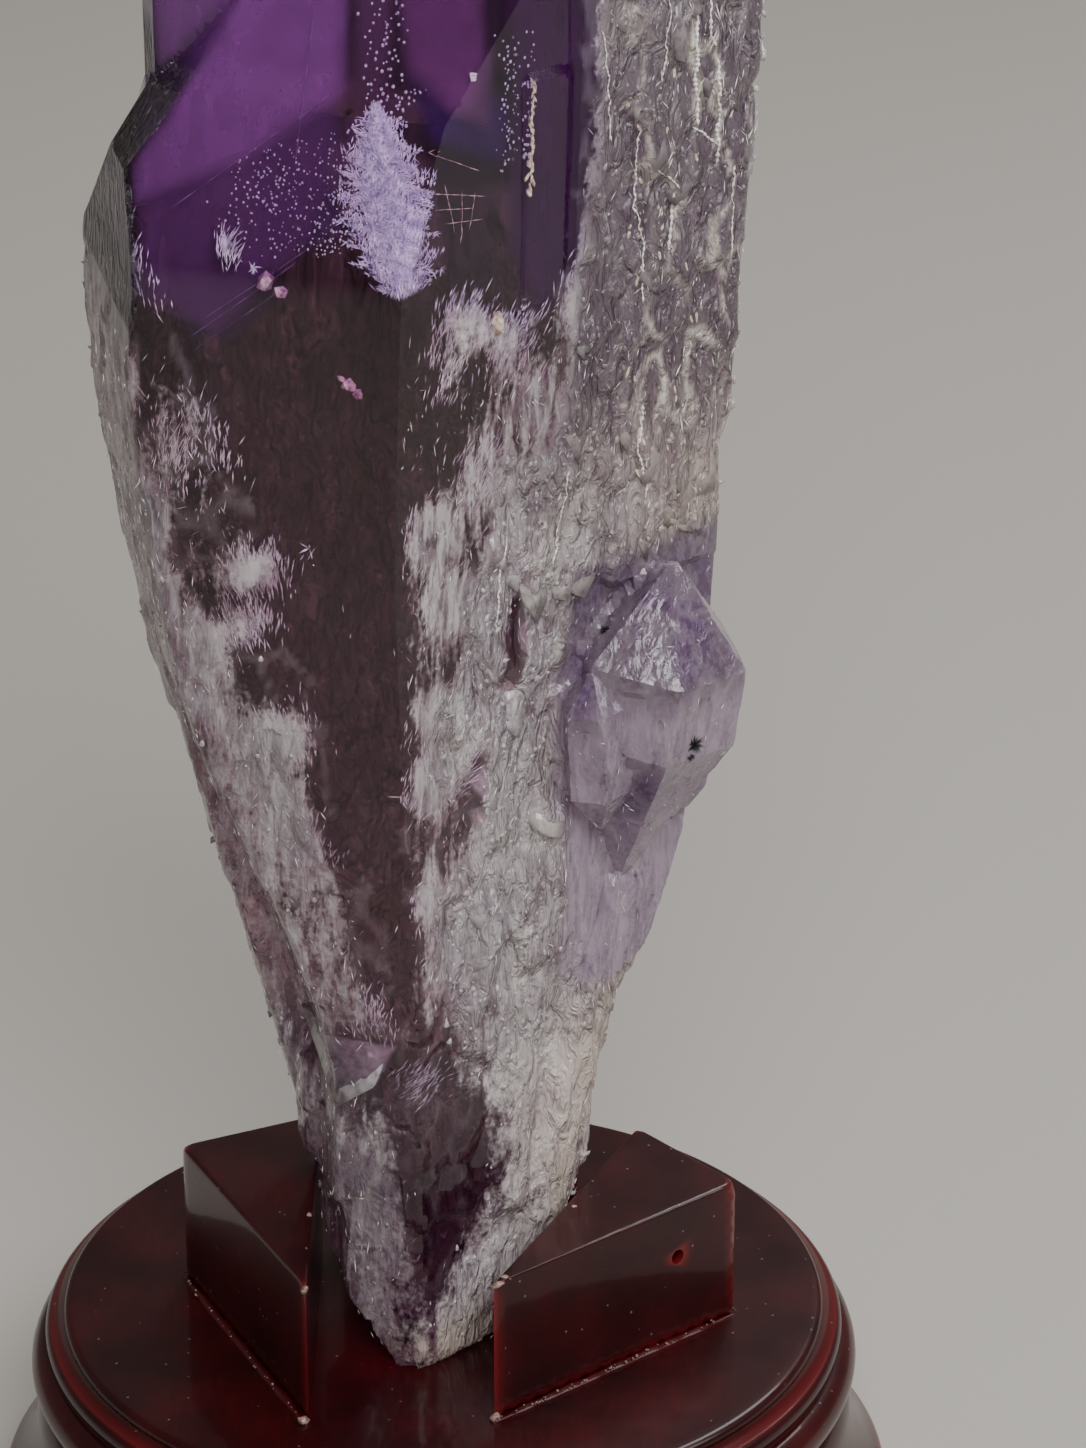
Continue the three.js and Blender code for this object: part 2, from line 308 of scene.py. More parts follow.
# White stars: x, height, depth, number of needles, shortest, longest and width. The second is a
# painted highlight: white needles where a bright spark of light shows.
WHITE_STARS_AND_PAINTED_SPARK = (
    (17.9, 193, 1.4, 70, 1.2, 3.6, 0.2),
    (-30.3, 222, 0.9, 26, 0.8, 1.8, 0.3),
    (-21.5, 171, 0.6, 5, 1, 2.6, 0.35),
)
# Pink chips: x, height and size.
PINK_CHIPS = (
    (-28.4, 219.4, 2.6), (-25.6, 218, 1.8), (-14.2, 202.3, 1.6), (-12.6, 201, 1.1),
    (-15.5, 203.4, 0.9),
)
# Black dendrites just under the skin: x, height, number of needles and reach.
BLACK_SPECKS = ((30.7, 144, 90, 1.5), (46.7, 124, 150, 2.5), (46.2, 121.6, 60, 1.5))
# The clear shard by the root, as x and height, and how far its corners stand out.
ROOT_SHARD = ((-26, 66, 0.2), (-19, 69.5, -0.6), (-9, 69, -0.5), (-12, 61, 1.1), (-18.3, 56, 1.5))
# The crust's plates: width, length and how far they stand out.
CRUST_PLATES = ((7.5, 15, 1.9), (3.4, 7, 0.9))
# Small points on the crust: how many, and how long the longest is.
CRUST_GRAINS = 2800
CRUST_GRAIN_LENGTH = 2.8
# Scales on the crust: how many, how wide the widest is, and the range of its length.
CRUST_SCALES = 90
CRUST_SCALE_WIDTH = 8
CRUST_SCALE_LENGTHS = (9, 15)
# A scale's outline, for a width and a length of 1, from its upper end round to the left.
SCALE_OUTLINE = (
    (0, 0.5), (-0.42, 0.34), (-0.5, -0.02), (-0.26, -0.32), (0, -0.5), (0.27, -0.3), (0.5, 0),
    (0.4, 0.33),
)
SCALE_THICKNESS = 2.5
# Scales that hang over the small crystal: x, height, width and length.
HANGING_SCALES = (
    (27, 158, 8, 14), (33, 160, 7, 13), (38, 163, 8, 15), (43.5, 165, 9, 16), (48.5, 169, 8, 15),
    (30, 149, 6, 13),
)
# What the crust's swirl and each group's random draws start from.
SEEDS = {"swirl": 1, "crust": 53, "veils": 11, "plume": 23, "grains": 37, "bubbles": 5}

# ---------- the stand, in millimetres ----------

BASE_HEIGHT = 45
FLAT_RADIUS = 72.2
TOP_RING_RADIUS = 80.3
FOOT_RADIUS = 87.5
BLOCK_HEIGHT = 28.8
# Each block's square corner, and the turn of its first leg.
LEFT_BLOCK = (-50.8, 5.9, -64.3)
RIGHT_BLOCK = (56.4, -8.6, 130.4)
LONG_LEG = 61.4
SHORT_LEG = 30.2
# The nail hole in the right block: how far along its long leg, and how high.
NAIL_ALONG = 15
NAIL_HEIGHT = 17.9
# How many sides the turned base's rings have.
BASE_SEGMENTS = 180
# Lacquer that ran into the corner between base and block: the block, the run's two ends along
# the block's legs, its radius, and where its unevenness starts from.
BEADS = (
    (LEFT_BLOCK, (0, -0.5), (LONG_LEG, -0.5), 1.0, 1),
    (LEFT_BLOCK, (-0.5, 0), (-0.5, SHORT_LEG), 0.8, 2),
    (RIGHT_BLOCK, (-0.5, 0), (-0.5, LONG_LEG), 1.1, 3),
    (RIGHT_BLOCK, (0, -0.5), (SHORT_LEG, -0.5), 0.8, 4),
)
# How far apart a bead's rings are, how many sides they have, and how much its radius varies.
BEAD_STEP = 0.9
BEAD_SIDES = 10
BEAD_UNEVENNESS = 0.35
# How thin the film counts as along the beads, from 0 to 1.
BEAD_THINNESS = 0.15
# Bubbles caught in the film beside each block.
RIGHT_BUBBLES = 60
LEFT_BUBBLES = 22
# Dried drops of glue: the block, the place along its legs and up, and reach across, deep and up.
DROPS = (
    (LEFT_BLOCK, LONG_LEG - 1.2, 0.2, BLOCK_HEIGHT - 0.5, (0.7, 0.6, 1.0)),
    (LEFT_BLOCK, LONG_LEG - 1.2, -0.6, 0.5, (1.3, 1.0, 0.8)),
    (RIGHT_BLOCK, 0.5, LONG_LEG - 2, BLOCK_HEIGHT - 0.4, (1.5, 0.7, 0.6)),
    (RIGHT_BLOCK, 1.2, LONG_LEG - 4.8, BLOCK_HEIGHT - 0.2, (1.1, 0.6, 0.5)),
    (RIGHT_BLOCK, 0.2, LONG_LEG - 1.2, 0.5, (1.2, 1.0, 0.8)),
    (RIGHT_BLOCK, 13, 30, BLOCK_HEIGHT - 0.2, (0.7, 0.5, 0.5)),
    (LEFT_BLOCK, 36, 11.6, BLOCK_HEIGHT - 0.2, (0.5, 0.5, 0.8)),
    (LEFT_BLOCK, 47, 6, BLOCK_HEIGHT - 0.6, (0.45, 0.45, 0.7)),
)

# ---------- the stage, in metres ----------

FLOOR_RADIUS = 4
# Each lamp's name, place, size and power in watts.
LAMPS = (
    ("key_lamp", (0.22, -1.28, 1.27), 0.9, 29.5),
    ("fill_lamp", (1.08, -0.29, 1.2), 0.8, 9.5),
    ("back_lamp", (0.5, 0.95, 1.45), 0.8, 13),
)
LAMP_AIM = (0, 0, 0.18)
CAMERA_PLACE = (0.0193, -0.8679, 0.5575)
# How far the camera is tipped up from looking straight down, in degrees.
CAMERA_TILT = 65.7
# In millimetres, as lenses are sold.
CAMERA_LENS = 128.04
CAMERA_SENSOR = 36


# ---------- small tools ----------


def linear(code):
    """Turns an sRGB hex colour such as "#57355E" into a linear RGBA colour."""
    parts = [int(code[i : i + 2], 16) / 255 for i in (1, 3, 5)]
    return [p / 12.92 if p <= 0.04045 else ((p + 0.055) / 1.055) ** 2.4 for p in parts] + [1.0]


def add_node(tree, kind, links=None, **settings):
    """Adds a shader node, sets its properties, and sets or links its inputs by name or number."""
    node = tree.nodes.new("ShaderNode" + kind)
    for name, value in settings.items():
        setattr(node, name, value)
    for name, value in (links or {}).items():
        if isinstance(value, bpy.types.NodeSocket):
            tree.links.new(value, node.inputs[name])
        else:
            node.inputs[name].default_value = value
    return node


def new_material(name):
    """An empty node material; returns it with its node tree and its output node."""
    material = bpy.data.materials.new(name)
    material.use_nodes = True
    tree = material.node_tree
    tree.nodes.clear()
    return material, tree, add_node(tree, "OutputMaterial")


def soft_step(low, high, value):
    """0 below low, 1 above high, and a smooth rise between them."""
    t = np.clip((value - low) / (high - low), 0, 1)
    return t * t * (3 - 2 * t)


def along_table(table, at):
    """Reads a two-column table at these values, straight between its rows."""
    rows = np.array(table, float)
    return np.interp(at, rows[:, 0], rows[:, 1])


def add_piece(name, mesh, material):
    """Puts a mesh in the scene as a piece of the object, riding on the stand's body."""
    mesh.name = name
    mesh.materials.clear()
    mesh.materials.append(material)
    piece = bpy.data.objects.new(name, mesh)
    bpy.context.scene.collection.objects.link(piece)
    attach(piece, BODY)
    return piece


def make_piece(name, points, faces, material, slot, smooth=True):
    """A mesh piece of the object, from points in metres."""
    mesh = bpy.data.meshes.new(name)
    mesh.from_pydata(np.asarray(points, float).tolist(), [], np.asarray(faces).tolist())
    mesh.validate()
    mesh.polygons.foreach_set("use_smooth", [smooth] * len(mesh.polygons))
    return add_piece(name, mesh, material)


def welded(node_name):
    """A CAD node's mesh opened for editing, with its points welded."""
    bm = bmesh.new()
    bm.from_mesh(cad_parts[node_name].data)
    bmesh.ops.remove_doubles(bm, verts=bm.verts, dist=0.02 * MM)
    return bm


def bmesh_arrays(bm):
    """An open mesh's points and faces as arrays; the mesh is closed."""
    points = np.array([vert.co[:] for vert in bm.verts])
    faces = np.array([[vert.index for vert in face.verts] for face in bm.faces])
    bm.free()
    return points, faces


def near_tree(points):
    """A search tree that finds the nearest of these points."""
    tree = kdtree.KDTree(len(points))
    for i, point in enumerate(points):
        tree.insert(point, i)
    tree.balance()
    return tree


def fine_copy(node_name, longest):
    """A CAD node's mesh, welded and cut finer until no edge is longer than this."""
    bm = welded(node_name)
    bmesh.ops.triangulate(bm, faces=bm.faces)
    points, faces = bmesh_arrays(bm)
    while True:
        corners = np.sort(np.stack([faces, np.roll(faces, -1, 1)], 2), 2).reshape(-1, 2)
        edges, which = np.unique(corners, axis=0, return_inverse=True)
        lengths = np.linalg.norm(points[edges[:, 0]] - points[edges[:, 1]], axis=1)
        is_long = lengths > longest
        if not is_long.any():
            break
        middle = np.full(len(edges), -1)
        middle[is_long] = len(points) + np.arange(is_long.sum())
        points = np.concatenate([points, points[edges[is_long]].mean(1)])
        faces = split_faces(faces, middle[which.reshape(-1, 3)])
    mesh = bpy.data.meshes.new(node_name + "_fine")
    mesh.from_pydata(points.tolist(), [], faces.tolist())
    return mesh


def split_faces(faces, middle):
    """Cuts triangles at the new points on their sides, where middle isn't -1."""
    cuts = (middle >= 0).sum(1)
    # Turn each triangle so that its cut sides come first.
    lead = np.zeros(len(faces), int)
    lead[cuts == 1] = np.argmax(middle[cuts == 1] >= 0, axis=1)
    lead[cuts == 2] = (np.argmax(middle[cuts == 2] < 0, axis=1) + 1) % 3
    turn = (lead[:, None] + np.arange(3)) % 3
    faces = np.take_along_axis(faces, turn, 1)
    middle = np.take_along_axis(middle, turn, 1)
    a, b, c = faces.T
    ab, bc, ca = middle.T
    parts = [faces[cuts == 0]]
    for count, pattern in (
        (1, ((a, ab, c), (ab, b, c))),
        (2, ((ab, b, bc), (a, ab, bc), (a, bc, c))),
        (3, ((a, ab, ca), (ab, b, bc), (ca, bc, c), (ab, bc, ca))),
    ):
        parts += [np.stack(corner, 1)[cuts == count] for corner in pattern]
    return np.concatenate(parts)


def even_copy(node_name, voxel):
    """A CAD node's mesh made over into even small faces."""
    rough = bpy.data.objects.new("rough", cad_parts[node_name].data.copy())
    bpy.context.scene.collection.objects.link(rough)
    evener = rough.modifiers.new("evener", "REMESH")
    evener.mode = "VOXEL"
    evener.voxel_size = voxel
    result = rough.evaluated_get(bpy.context.evaluated_depsgraph_get())
    mesh = bpy.data.meshes.new_from_object(result)
    bpy.data.objects.remove(rough)
    return mesh


def crisp_lines(node_name, angle, step):
    """Points set closely along a CAD node's sharp edges."""
    bm = welded(node_name)
    rows = []
    for edge in bm.edges:
        if len(edge.link_faces) == 2 and edge.calc_face_angle(0) > angle:
            count = max(2, math.ceil(edge.calc_length() / step) + 1)
            share = np.linspace(0, 1, count)[:, None]
            ends = np.array([vert.co[:] for vert in edge.verts])
            rows.append(ends[0] * (1 - share) + ends[1] * share)
    bm.free()
    return np.concatenate(rows)


def snap_to_cad(node_name, points, reach, which):
    """Moves the chosen points onto a CAD node's faces, and onto its sharp edges within reach."""
    bm = bmesh.new()
    bm.from_mesh(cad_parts[node_name].data)
    faces = BVHTree.FromBMesh(bm)
    bm.free()
    tree = near_tree(crisp_lines(node_name, math.radians(9), 0.3 * MM))
    for i in np.nonzero(which)[0]:
        place = faces.find_nearest(points[i])[0]
        near, _, distance = tree.find(place)
        points[i] = near if distance < reach else place
    return points


def mesh_arrays(mesh):
    """A mesh's points, point normals and edges as arrays."""
    points = np.empty(len(mesh.vertices) * 3)
    mesh.vertices.foreach_get("co", points)
    normals = np.empty(len(mesh.vertices) * 3)
    mesh.vertices.foreach_get("normal", normals)
    edges = np.empty(len(mesh.edges) * 2, int)
    mesh.edges.foreach_get("vertices", edges)
    return points.reshape(-1, 3), normals.reshape(-1, 3), edges.reshape(-1, 2)


def neighbour_mean(values, edges):
    """Each point's mean over the points that it shares an edge with."""
    here, there = np.concatenate([edges, edges[:, ::-1]]).T
    size = len(values)
    count = np.bincount(here, minlength=size)
    columns = values.reshape(size, -1).T
    total = [np.bincount(here, column[there], size) / count for column in columns]
    return np.stack(total, 1).reshape(values.shape)


def relax(points, edges, share, times):
    """Draws points towards their neighbours' mean by this share, so many times."""
    for _ in range(times):
        points += share * (neighbour_mean(points, edges) - points)


def store(mesh, name, values):
    """Keeps one number for each point, for the material to read."""
    attribute = mesh.attributes.new(name, "FLOAT", "POINT")
    attribute.data.foreach_set("value", np.asarray(values, np.float32))


def stored(mesh, name):
    """Reads the numbers that store() kept."""
    values = np.empty(len(mesh.vertices), np.float32)
    mesh.attributes[name].data.foreach_get("value", values)
    return values


def spindles(centres, directions, lengths, widths, sides=3):
    """Thin closed spindles with a point at each end; returns points and faces."""
    count = len(centres)
    directions = directions / np.linalg.norm(directions, axis=1, keepdims=True)
    other = np.where(np.abs(directions[:, 2:3]) > 0.8, [[1.0, 0, 0]], [[0, 0, 1.0]])
    across = np.cross(directions, other)
    across /= np.linalg.norm(across, axis=1, keepdims=True)
    over = np.cross(directions, across)
    half = directions * (lengths / 2)[:, None]
    rows = [centres - half]
    for i in range(sides):
        turn = 2 * math.pi * i / sides
        rim = across * math.cos(turn) + over * math.sin(turn)
        rows.append(centres + rim * (widths / 2)[:, None])
    rows.append(centres + half)
    points = np.stack(rows, 1).reshape(-1, 3)
    pattern = []
    for i in range(sides):
        here, there = 1 + i, 1 + (i + 1) % sides
        pattern += [(0, there, here), (sides + 1, here, there)]
    stride = sides + 2
    faces = (np.array(pattern)[None] + (np.arange(count) * stride)[:, None, None]).reshape(-1, 3)
    return points, faces


def ball_points(subdivisions):
    """A unit ball's points and faces."""
    bm = bmesh.new()
    bmesh.ops.create_icosphere(bm, subdivisions=subdivisions, radius=1)
    return bmesh_arrays(bm)


def balls(centres, radii, squash=(1, 1, 1)):
    """Many small balls in one mesh; returns points and faces."""
    unit, pattern = ball_points(2)
    unit = unit * np.array(squash)
    points = (centres[:, None] + unit[None] * radii[:, None, None]).reshape(-1, 3)
    faces = (pattern[None] + (np.arange(len(centres)) * len(unit))[:, None, None]).reshape(-1, 3)
    return points, faces


def joined(parts):
    """Joins (points, faces) pairs into one."""
    points, faces, start = [], [], 0
    for part_points, part_faces in parts:
        points.append(part_points)
        faces.append(part_faces + start)
        start += len(part_points)
    return np.concatenate(points), np.concatenate(faces)


# ---------- the crystal's zones ----------


def patches(table, x, z):
    """The summed strength of soft oval patches at these places on the front."""
    total = np.zeros(len(x))
    for place_x, place_z, reach_x, reach_z, lean, strength, *_ in table:
        turn = math.radians(lean)
        across = (x - place_x) * math.cos(turn) - (z - place_z) * math.sin(turn)
        up = (x - place_x) * math.sin(turn) + (z - place_z) * math.cos(turn)
        total += strength * np.exp(-((across / reach_x) ** 2) - (up / reach_z) ** 2)
    return total


def fade(name, value, sway=0):
    """How far a value is into a named fade, from 0 to 1."""
    low, high, *waver = FADES[name]
    return soft_step(low, high, value + waver[0] * sway if waver else value)


def crystal_zones(points, normals):
    """How milky, streaky, violet, lavender and warm each point of the skin is, and how much painted
    shade it gets, from 0 to 1.
    """
    x, y, z = points[:, 0] / MM, points[:, 1] / MM, (points[:, 2] - FLAT) / MM
    places = np.stack([x, y, z], 1)
    sway = np.array([noise.noise(Vector(place)) for place in places / SWAY_SIZE])
    front = fade("front_face", -normals[:, 1])
    left_face = fade("left_face", -normals[:, 0])

    violet_front = fade("violet_floor", z - along_table(VIOLET_FLOOR, x), sway)
    violet_behind = fade("violet_behind", z - VIOLET_FLOOR_BEHIND, sway)
    left_strip = fade("left_strip", along_table(WINDOW_LEFT, z) - x, sway)
    crust = fade("crust", x - along_table(CRUST_LEFT, z), sway)
    streak = fade("streak_side", x) * fade("streak_top", z) * fade("streak_foot", z)
    root = 0.6 * fade("root_milk", z)
    violet = violet_front * (1 - 0.85 * crust) + patches(VIOLET_PATCHES, x, z)
    violet = front * np.clip(violet, 0, 1) + (1 - front) * violet_behind

    milk_front = np.maximum.reduce(
        [0.56 * left_strip * (1 - violet_front), 0.85 * crust, 0.46 * streak, root]
    )
    milk_front += patches(CLOUDS, x, z) - patches(GAPS, x, z)
    milk_behind = (0.8 - 0.16 * left_face) * (1 - violet_behind)
    end_crust = fade("end_crust_side", x) * fade("end_crust_rise", x + z / 9)
    milk_behind = np.maximum(milk_behind, 0.85 * end_crust)
    milk = front * milk_front + (1 - front) * milk_behind

    foot, tip = (np.array(end, float) for end in LAVENDER_AXIS)
    span = tip - foot
    local = (places - foot) * (1, LAVENDER_FLATTEN, 1)
    share = np.clip(local @ span / (span @ span), 0, 1)
    off_axis = np.linalg.norm(local - share[:, None] * span, axis=1)
    lavender = fade("lavender_reach", off_axis) * fade("lavender_top", z)
    lavender *= fade("lavender_side", x, sway)
    milk = milk * (1 - lavender) + 0.74 * lavender
    shoulder = fade("shoulder_face", -normals[:, 0]) * fade("shoulder_foot", z)
    milk *= 1 - 0.9 * shoulder
    # The shoulder's clear colour is darkened: painted shade. It is darkened most where it is seen
    # beside the window, the only part that is stepped and dull.
    stepped = fade("stepped_face", -normals[:, 1]) * fade("stepped_top", z)
    stepped *= fade("stepped_side", x)
    clear_shade = shoulder * (0.6 + 0.4 * stepped)

    warm = 0.85 * fade("warm_side", x, sway) * fade("warm_top", z) + fade("warm_foot", z)
    warm += 0.5 * fade("warm_root_side", x) * fade("warm_root", z)
    warm = front * warm + (1 - front) * 0.9 * fade("warm_behind", sway)
    lump = np.maximum(crust * front, 0.75 * (1 - front) * milk_behind)
    lump = np.maximum(lump, 0.4 * left_strip * front * (1 - violet_front))
    lump = np.maximum(lump, front * root) * (1 - 0.45 * front * fade("smooth_root", z))
    lump *= (1 - 0.8 * lavender) * (1 - shoulder)
    # Painted shade, which darkens the cloud: on the far faces and most on the left one, towards the
    # crust's top and the small crystal's top, on the root's left side, and less along the left strip
    # and the streaks.
    shade = 0.95 * crust * fade("crust_shade", z) + 0.5 * left_strip * fade("strip_shade", z)
    shade += 0.75 * fade("root_shade_side", x) * fade("root_shade", z) + 0.3 * streak
    shade += 0.9 * lavender * fade("lavender_shade", z)
    shade = front * np.clip(shade, 0, 1) + (1 - front) * (0.3 + 0.5 * left_face)
    zones = {
        "milk": np.clip(milk, 0, 1),
        "streak": front * np.maximum(streak * (1 - 0.6 * crust), 0.7 * left_strip),
        "violet": violet,
        "behind": 1 - front,
        "lavender": lavender,
        "warm": np.clip(warm, 0, 1),
        "shade": shade,
        # The root's front gets that painted shade too.
        "clear_shade": np.maximum(clear_shade, 0.6 * front * fade("root_clear_shade", z)),
        "lump": np.clip(lump, 0, 1),
    }
    return zones, sway


def crust_relief(points, lump):
    """How far the crust's plates stand out at each point, in metres, and where their seams are."""
    relief = np.zeros(len(points))
    seam = np.zeros(len(points))
    # Without a seed of its own the swirl would start somewhere else each time.
    noise.seed_set(SEEDS["swirl"])
    for i in np.nonzero(lump > 0.02)[0]:
        place = Vector(points[i]) / MM
        swirl = noise.noise_vector(place / 9)
        stand = 1.1 * noise.fractal(Vector((place.x / 9, place.y / 9, place.z / 26)), 1, 2, 3)
        for width, length, height in CRUST_PLATES:
            spot = Vector((place.x / width, place.y / width, place.z / length)) + 0.35 * swirl
            distances, seeds = noise.voronoi(spot)
            own = noise.cell_vector(seeds[0] * 17) - Vector((0.5, 0.5, 0.5))
            off = spot - seeds[0]
            # A plate stands out most at its lower tip, and tips a little to one side.
            tip = 0.6 * own.z - 0.8 * off.z + 1.3 * (own.x * off.x + own.y * off.y)
            stand += height * max(-0.6, min(tip, 0.6))
            seam[i] = max(seam[i], soft_step(0.15, 0.02, distances[1] - distances[0]) * (width > 5))
        relief[i] = lump[i] * stand * MM
    return relief, seam


def grow_crystal_mesh(voxel):
    """The crystal's skin: flat bright faces where it is clear, lumps and plates in the crust."""
    mesh = even_copy("amethyst_crystal", voxel)
    points, normals, edges = mesh_arrays(mesh)
    zones, sway = crystal_zones(points, normals)
    lump = zones["lump"]
    points = snap_to_cad("amethyst_crystal", points, 0.62 * voxel, lump < 0.3)
    soft = 0.5 * np.clip(lump * 1.4 - 0.3, 0, 1)[:, None]
    relax(points, edges, soft, 3)
    # The front face bends back over a few millimetres, without an edge.
    height = (points[:, 2] - FLAT) / MM
    bend = soft_step(FRONT_BEND_REACH, 0.5 * FRONT_BEND_REACH, np.abs(height - FRONT_BEND))
    bend *= (normals[:, 1] < -0.6) * (normals[:, 0] < 0.2)
    relax(points, edges, 0.5 * bend[:, None], FRONT_BEND_PASSES)
    mesh.vertices.foreach_set("co", points.ravel())
    mesh.update()
    points, normals, edges = mesh_arrays(mesh)
    relief, seam = crust_relief(points, lump)
    points += normals * relief[:, None]
    relax(points, edges, soft, 2)
    x, height = points[:, 0] / MM, (points[:, 2] - FLAT) / MM
    net = fade("seam_side", x) * fade("seam_foot", height) * (normals[:, 1] < 0.3)
    zones["seam"] = seam * (0.12 + 0.88 * net * fade("seam_sway", sway))
    mesh.vertices.foreach_set("co", points.ravel())
    for name, values in zones.items():
        store(mesh, name, values)
    mesh.polygons.foreach_set("use_smooth", [True] * len(mesh.polygons))
    mesh.update()
    mark_crisp_edges(mesh, lump)
    return mesh


def mark_crisp_edges(mesh, lump):
    """Keeps edges sharp in the shading: nearly all in clear faces, only steep ones in the crust."""
    bm = bmesh.new()
    bm.from_mesh(mesh)
    bm.verts.ensure_lookup_table()
    for edge in bm.edges:
        limit = CLEAR_CREASE if lump[edge.verts[0].index] < 0.35 else CRUST_CREASE
        if len(edge.link_faces) == 2:
            edge.smooth = edge.calc_face_angle(0) < math.radians(limit)
    bm.to_mesh(mesh)
    bm.free()


# ---------- what is sealed in the crystal ----------


def crystal_piece():
    """The grown crystal, which the sealed pieces are laid out in."""
    piece = bpy.data.objects.get(CRYSTAL)
    if piece is None:
        raise RuntimeError("the crystal has to be grown first")
    return piece


def beneath(skin, xs, zs, depths):
    """Points this deep under the front of the skin, the skin's normals there, and which ones hit."""
    places, normals, kept = [], [], []
    for i, (x, z, depth) in enumerate(zip(xs, zs, depths)):
        start = Vector((x * MM, -0.3, z * MM + FLAT))
        hit, normal, _, _ = skin.ray_cast(start, Vector((0, 1, 0)))
        if hit is not None:
            places.append(hit - normal * depth * MM)
            normals.append(normal)
            kept.append(i)
    return np.array(places), np.array(normals), np.array(kept, int)


def skin_tree():
    """A search tree over the grown crystal's skin."""
    mesh = crystal_piece().data
    return BVHTree.FromPolygons(
        [vert.co[:] for vert in mesh.vertices], [face.vertices[:] for face in mesh.polygons]
    )


def laid_flat(directions, normals):
    """Turns directions into the skin's own plane."""
    flat = directions - normals * (directions * normals).sum(1, keepdims=True)
    return flat / np.linalg.norm(flat, axis=1, keepdims=True)


def leaning(degrees):
    """Directions in the upright front plane, leaning from upright towards +X."""
    angles = np.radians(degrees)
    return np.stack([np.sin(angles), np.zeros_like(angles), np.cos(angles)], 1)


def cloud_strokes(skin, rng, patch):
    """Fine white strokes through one soft cloud, combed one way like a feather."""
    x, z, reach_x, reach_z, lean, _, count = patch
    count = int(count * FEATHER_CROWDING)
    across = rng.normal(0, 0.5, count) * reach_x
    up = rng.normal(0, 0.55, count) * reach_z
    turn = math.radians(lean)
    xs = x + across * math.cos(turn) + up * math.sin(turn)
    zs = z - across * math.sin(turn) + up * math.cos(turn)
    places, normals, kept = beneath(skin, xs, zs, rng.uniform(0.1, 1.4, count))
    fan = lean + 30 + across[kept] / reach_x * 16 + rng.normal(0, 11, len(kept))
    lengths = rng.uniform(0.8, 3.4, len(kept)) * MM
    # Real ones are finer than a hair; they are drawn 0.2 mm or more thick to show.
    widths = rng.uniform(0.16, 0.34, len(kept)) * MM
    return spindles(places, laid_flat(leaning(fan), normals), lengths, widths)


def fleck_chances():
    """How likely a white fleck in the milk, and a painted glint in the crust's seams, is at each point
    of the skin.
    """
    mesh = crystal_piece().data
    points, _, _ = mesh_arrays(mesh)
    milk, streak, violet, lavender = (
        stored(mesh, name) for name in ("milk", "streak", "violet", "lavender")
    )
    in_milk = milk**2 * (1 - 0.94 * lavender) + 0.9 * streak + 0.012 * (1 - violet)
    x, z = points[:, 0] / MM, (points[:, 2] - FLAT) / MM
    bands = np.array([noise.noise(Vector(point) / (7 * MM)) for point in points])
    right = fade("fleck_side", x) * fade("fleck_foot", z) * (bands > 0.16)
    return in_milk, right + 0.02 * milk + 0.25 * streak * (bands > 0.2)


def skin_strokes(rng, chance, count, shallow, deep, longest, widest):
    """Fine white strokes in the skin all round, most of them upright, where they are likely: flecks in
    the milk, and painted glints in the crust's seams.
    """
    points, normals, _ = mesh_arrays(crystal_piece().data)
    picks = rng.choice(len(points), count, p=chance / chance.sum())
    normals = normals[picks]
    places = points[picks] - normals * rng.uniform(shallow, deep, count)[:, None] * MM
    places += rng.normal(0, 0.4 * MM, (count, 3))
    around = np.cross(normals, [0.0, 0.0, 1.0])
    angles = rng.normal(0, 0.5, count)[:, None]
    directions = np.array([[0.0, 0.0, 1.0]]) * np.cos(angles) + around * np.sin(angles)
    lengths = rng.uniform(0.25, 1, count) ** 1.5 * longest * MM
    widths = rng.uniform(0.4, 1, count) * widest * MM
    return spindles(places, laid_flat(directions, normals), lengths, widths)


def plume_needles(skin, rng):
    """The snowy plume: thousands of fine needles combed out from its spine."""
    rows = np.array(PLUME, float)[::-1]
    count = PLUME_NEEDLES
    zs = rng.uniform(rows[0, 0], rows[-1, 0], count * 2)
    left = np.interp(zs, rows[:, 0], rows[:, 1])
    right = np.interp(zs, rows[:, 0], rows[:, 2])
    keep = rng.uniform(0, 15, count * 2) < right - left + 0.8
    zs, left, right = zs[keep][:count], left[keep][:count], right[keep][:count]
    side = np.clip(rng.normal(0, 0.48, len(zs)), -1.15, 1.15)
    ragged = 1 + 0.14 * np.sin(zs * 1.7 + 2 * side) + 0.12 * np.sin(zs * 3.7 + 4 * side)
    xs = (left + right) / 2 + side * ragged * (right - left) / 2
    bulge = 1 - 0.8 * np.abs(side)
    depths = 0.9 + 2.4 * (1 - bulge * rng.uniform(0.2, 1, len(xs)))
    places, normals, kept = beneath(skin, xs, zs, depths)
    lean = 8 + side[kept] * 40 + 45 * np.sin(xs[kept] * 0.9 + zs[kept] * 0.6)
    lean += rng.normal(0, 28, len(kept))
    rise = rng.normal(0, 0.3, len(kept))[:, None]
    directions = laid_flat(leaning(lean), normals) - normals * rise
    lengths = rng.uniform(0.5, 2.2, len(kept)) * MM
    widths = rng.uniform(0.16, 0.34, len(kept)) * MM
    return spindles(places, directions, lengths, widths)


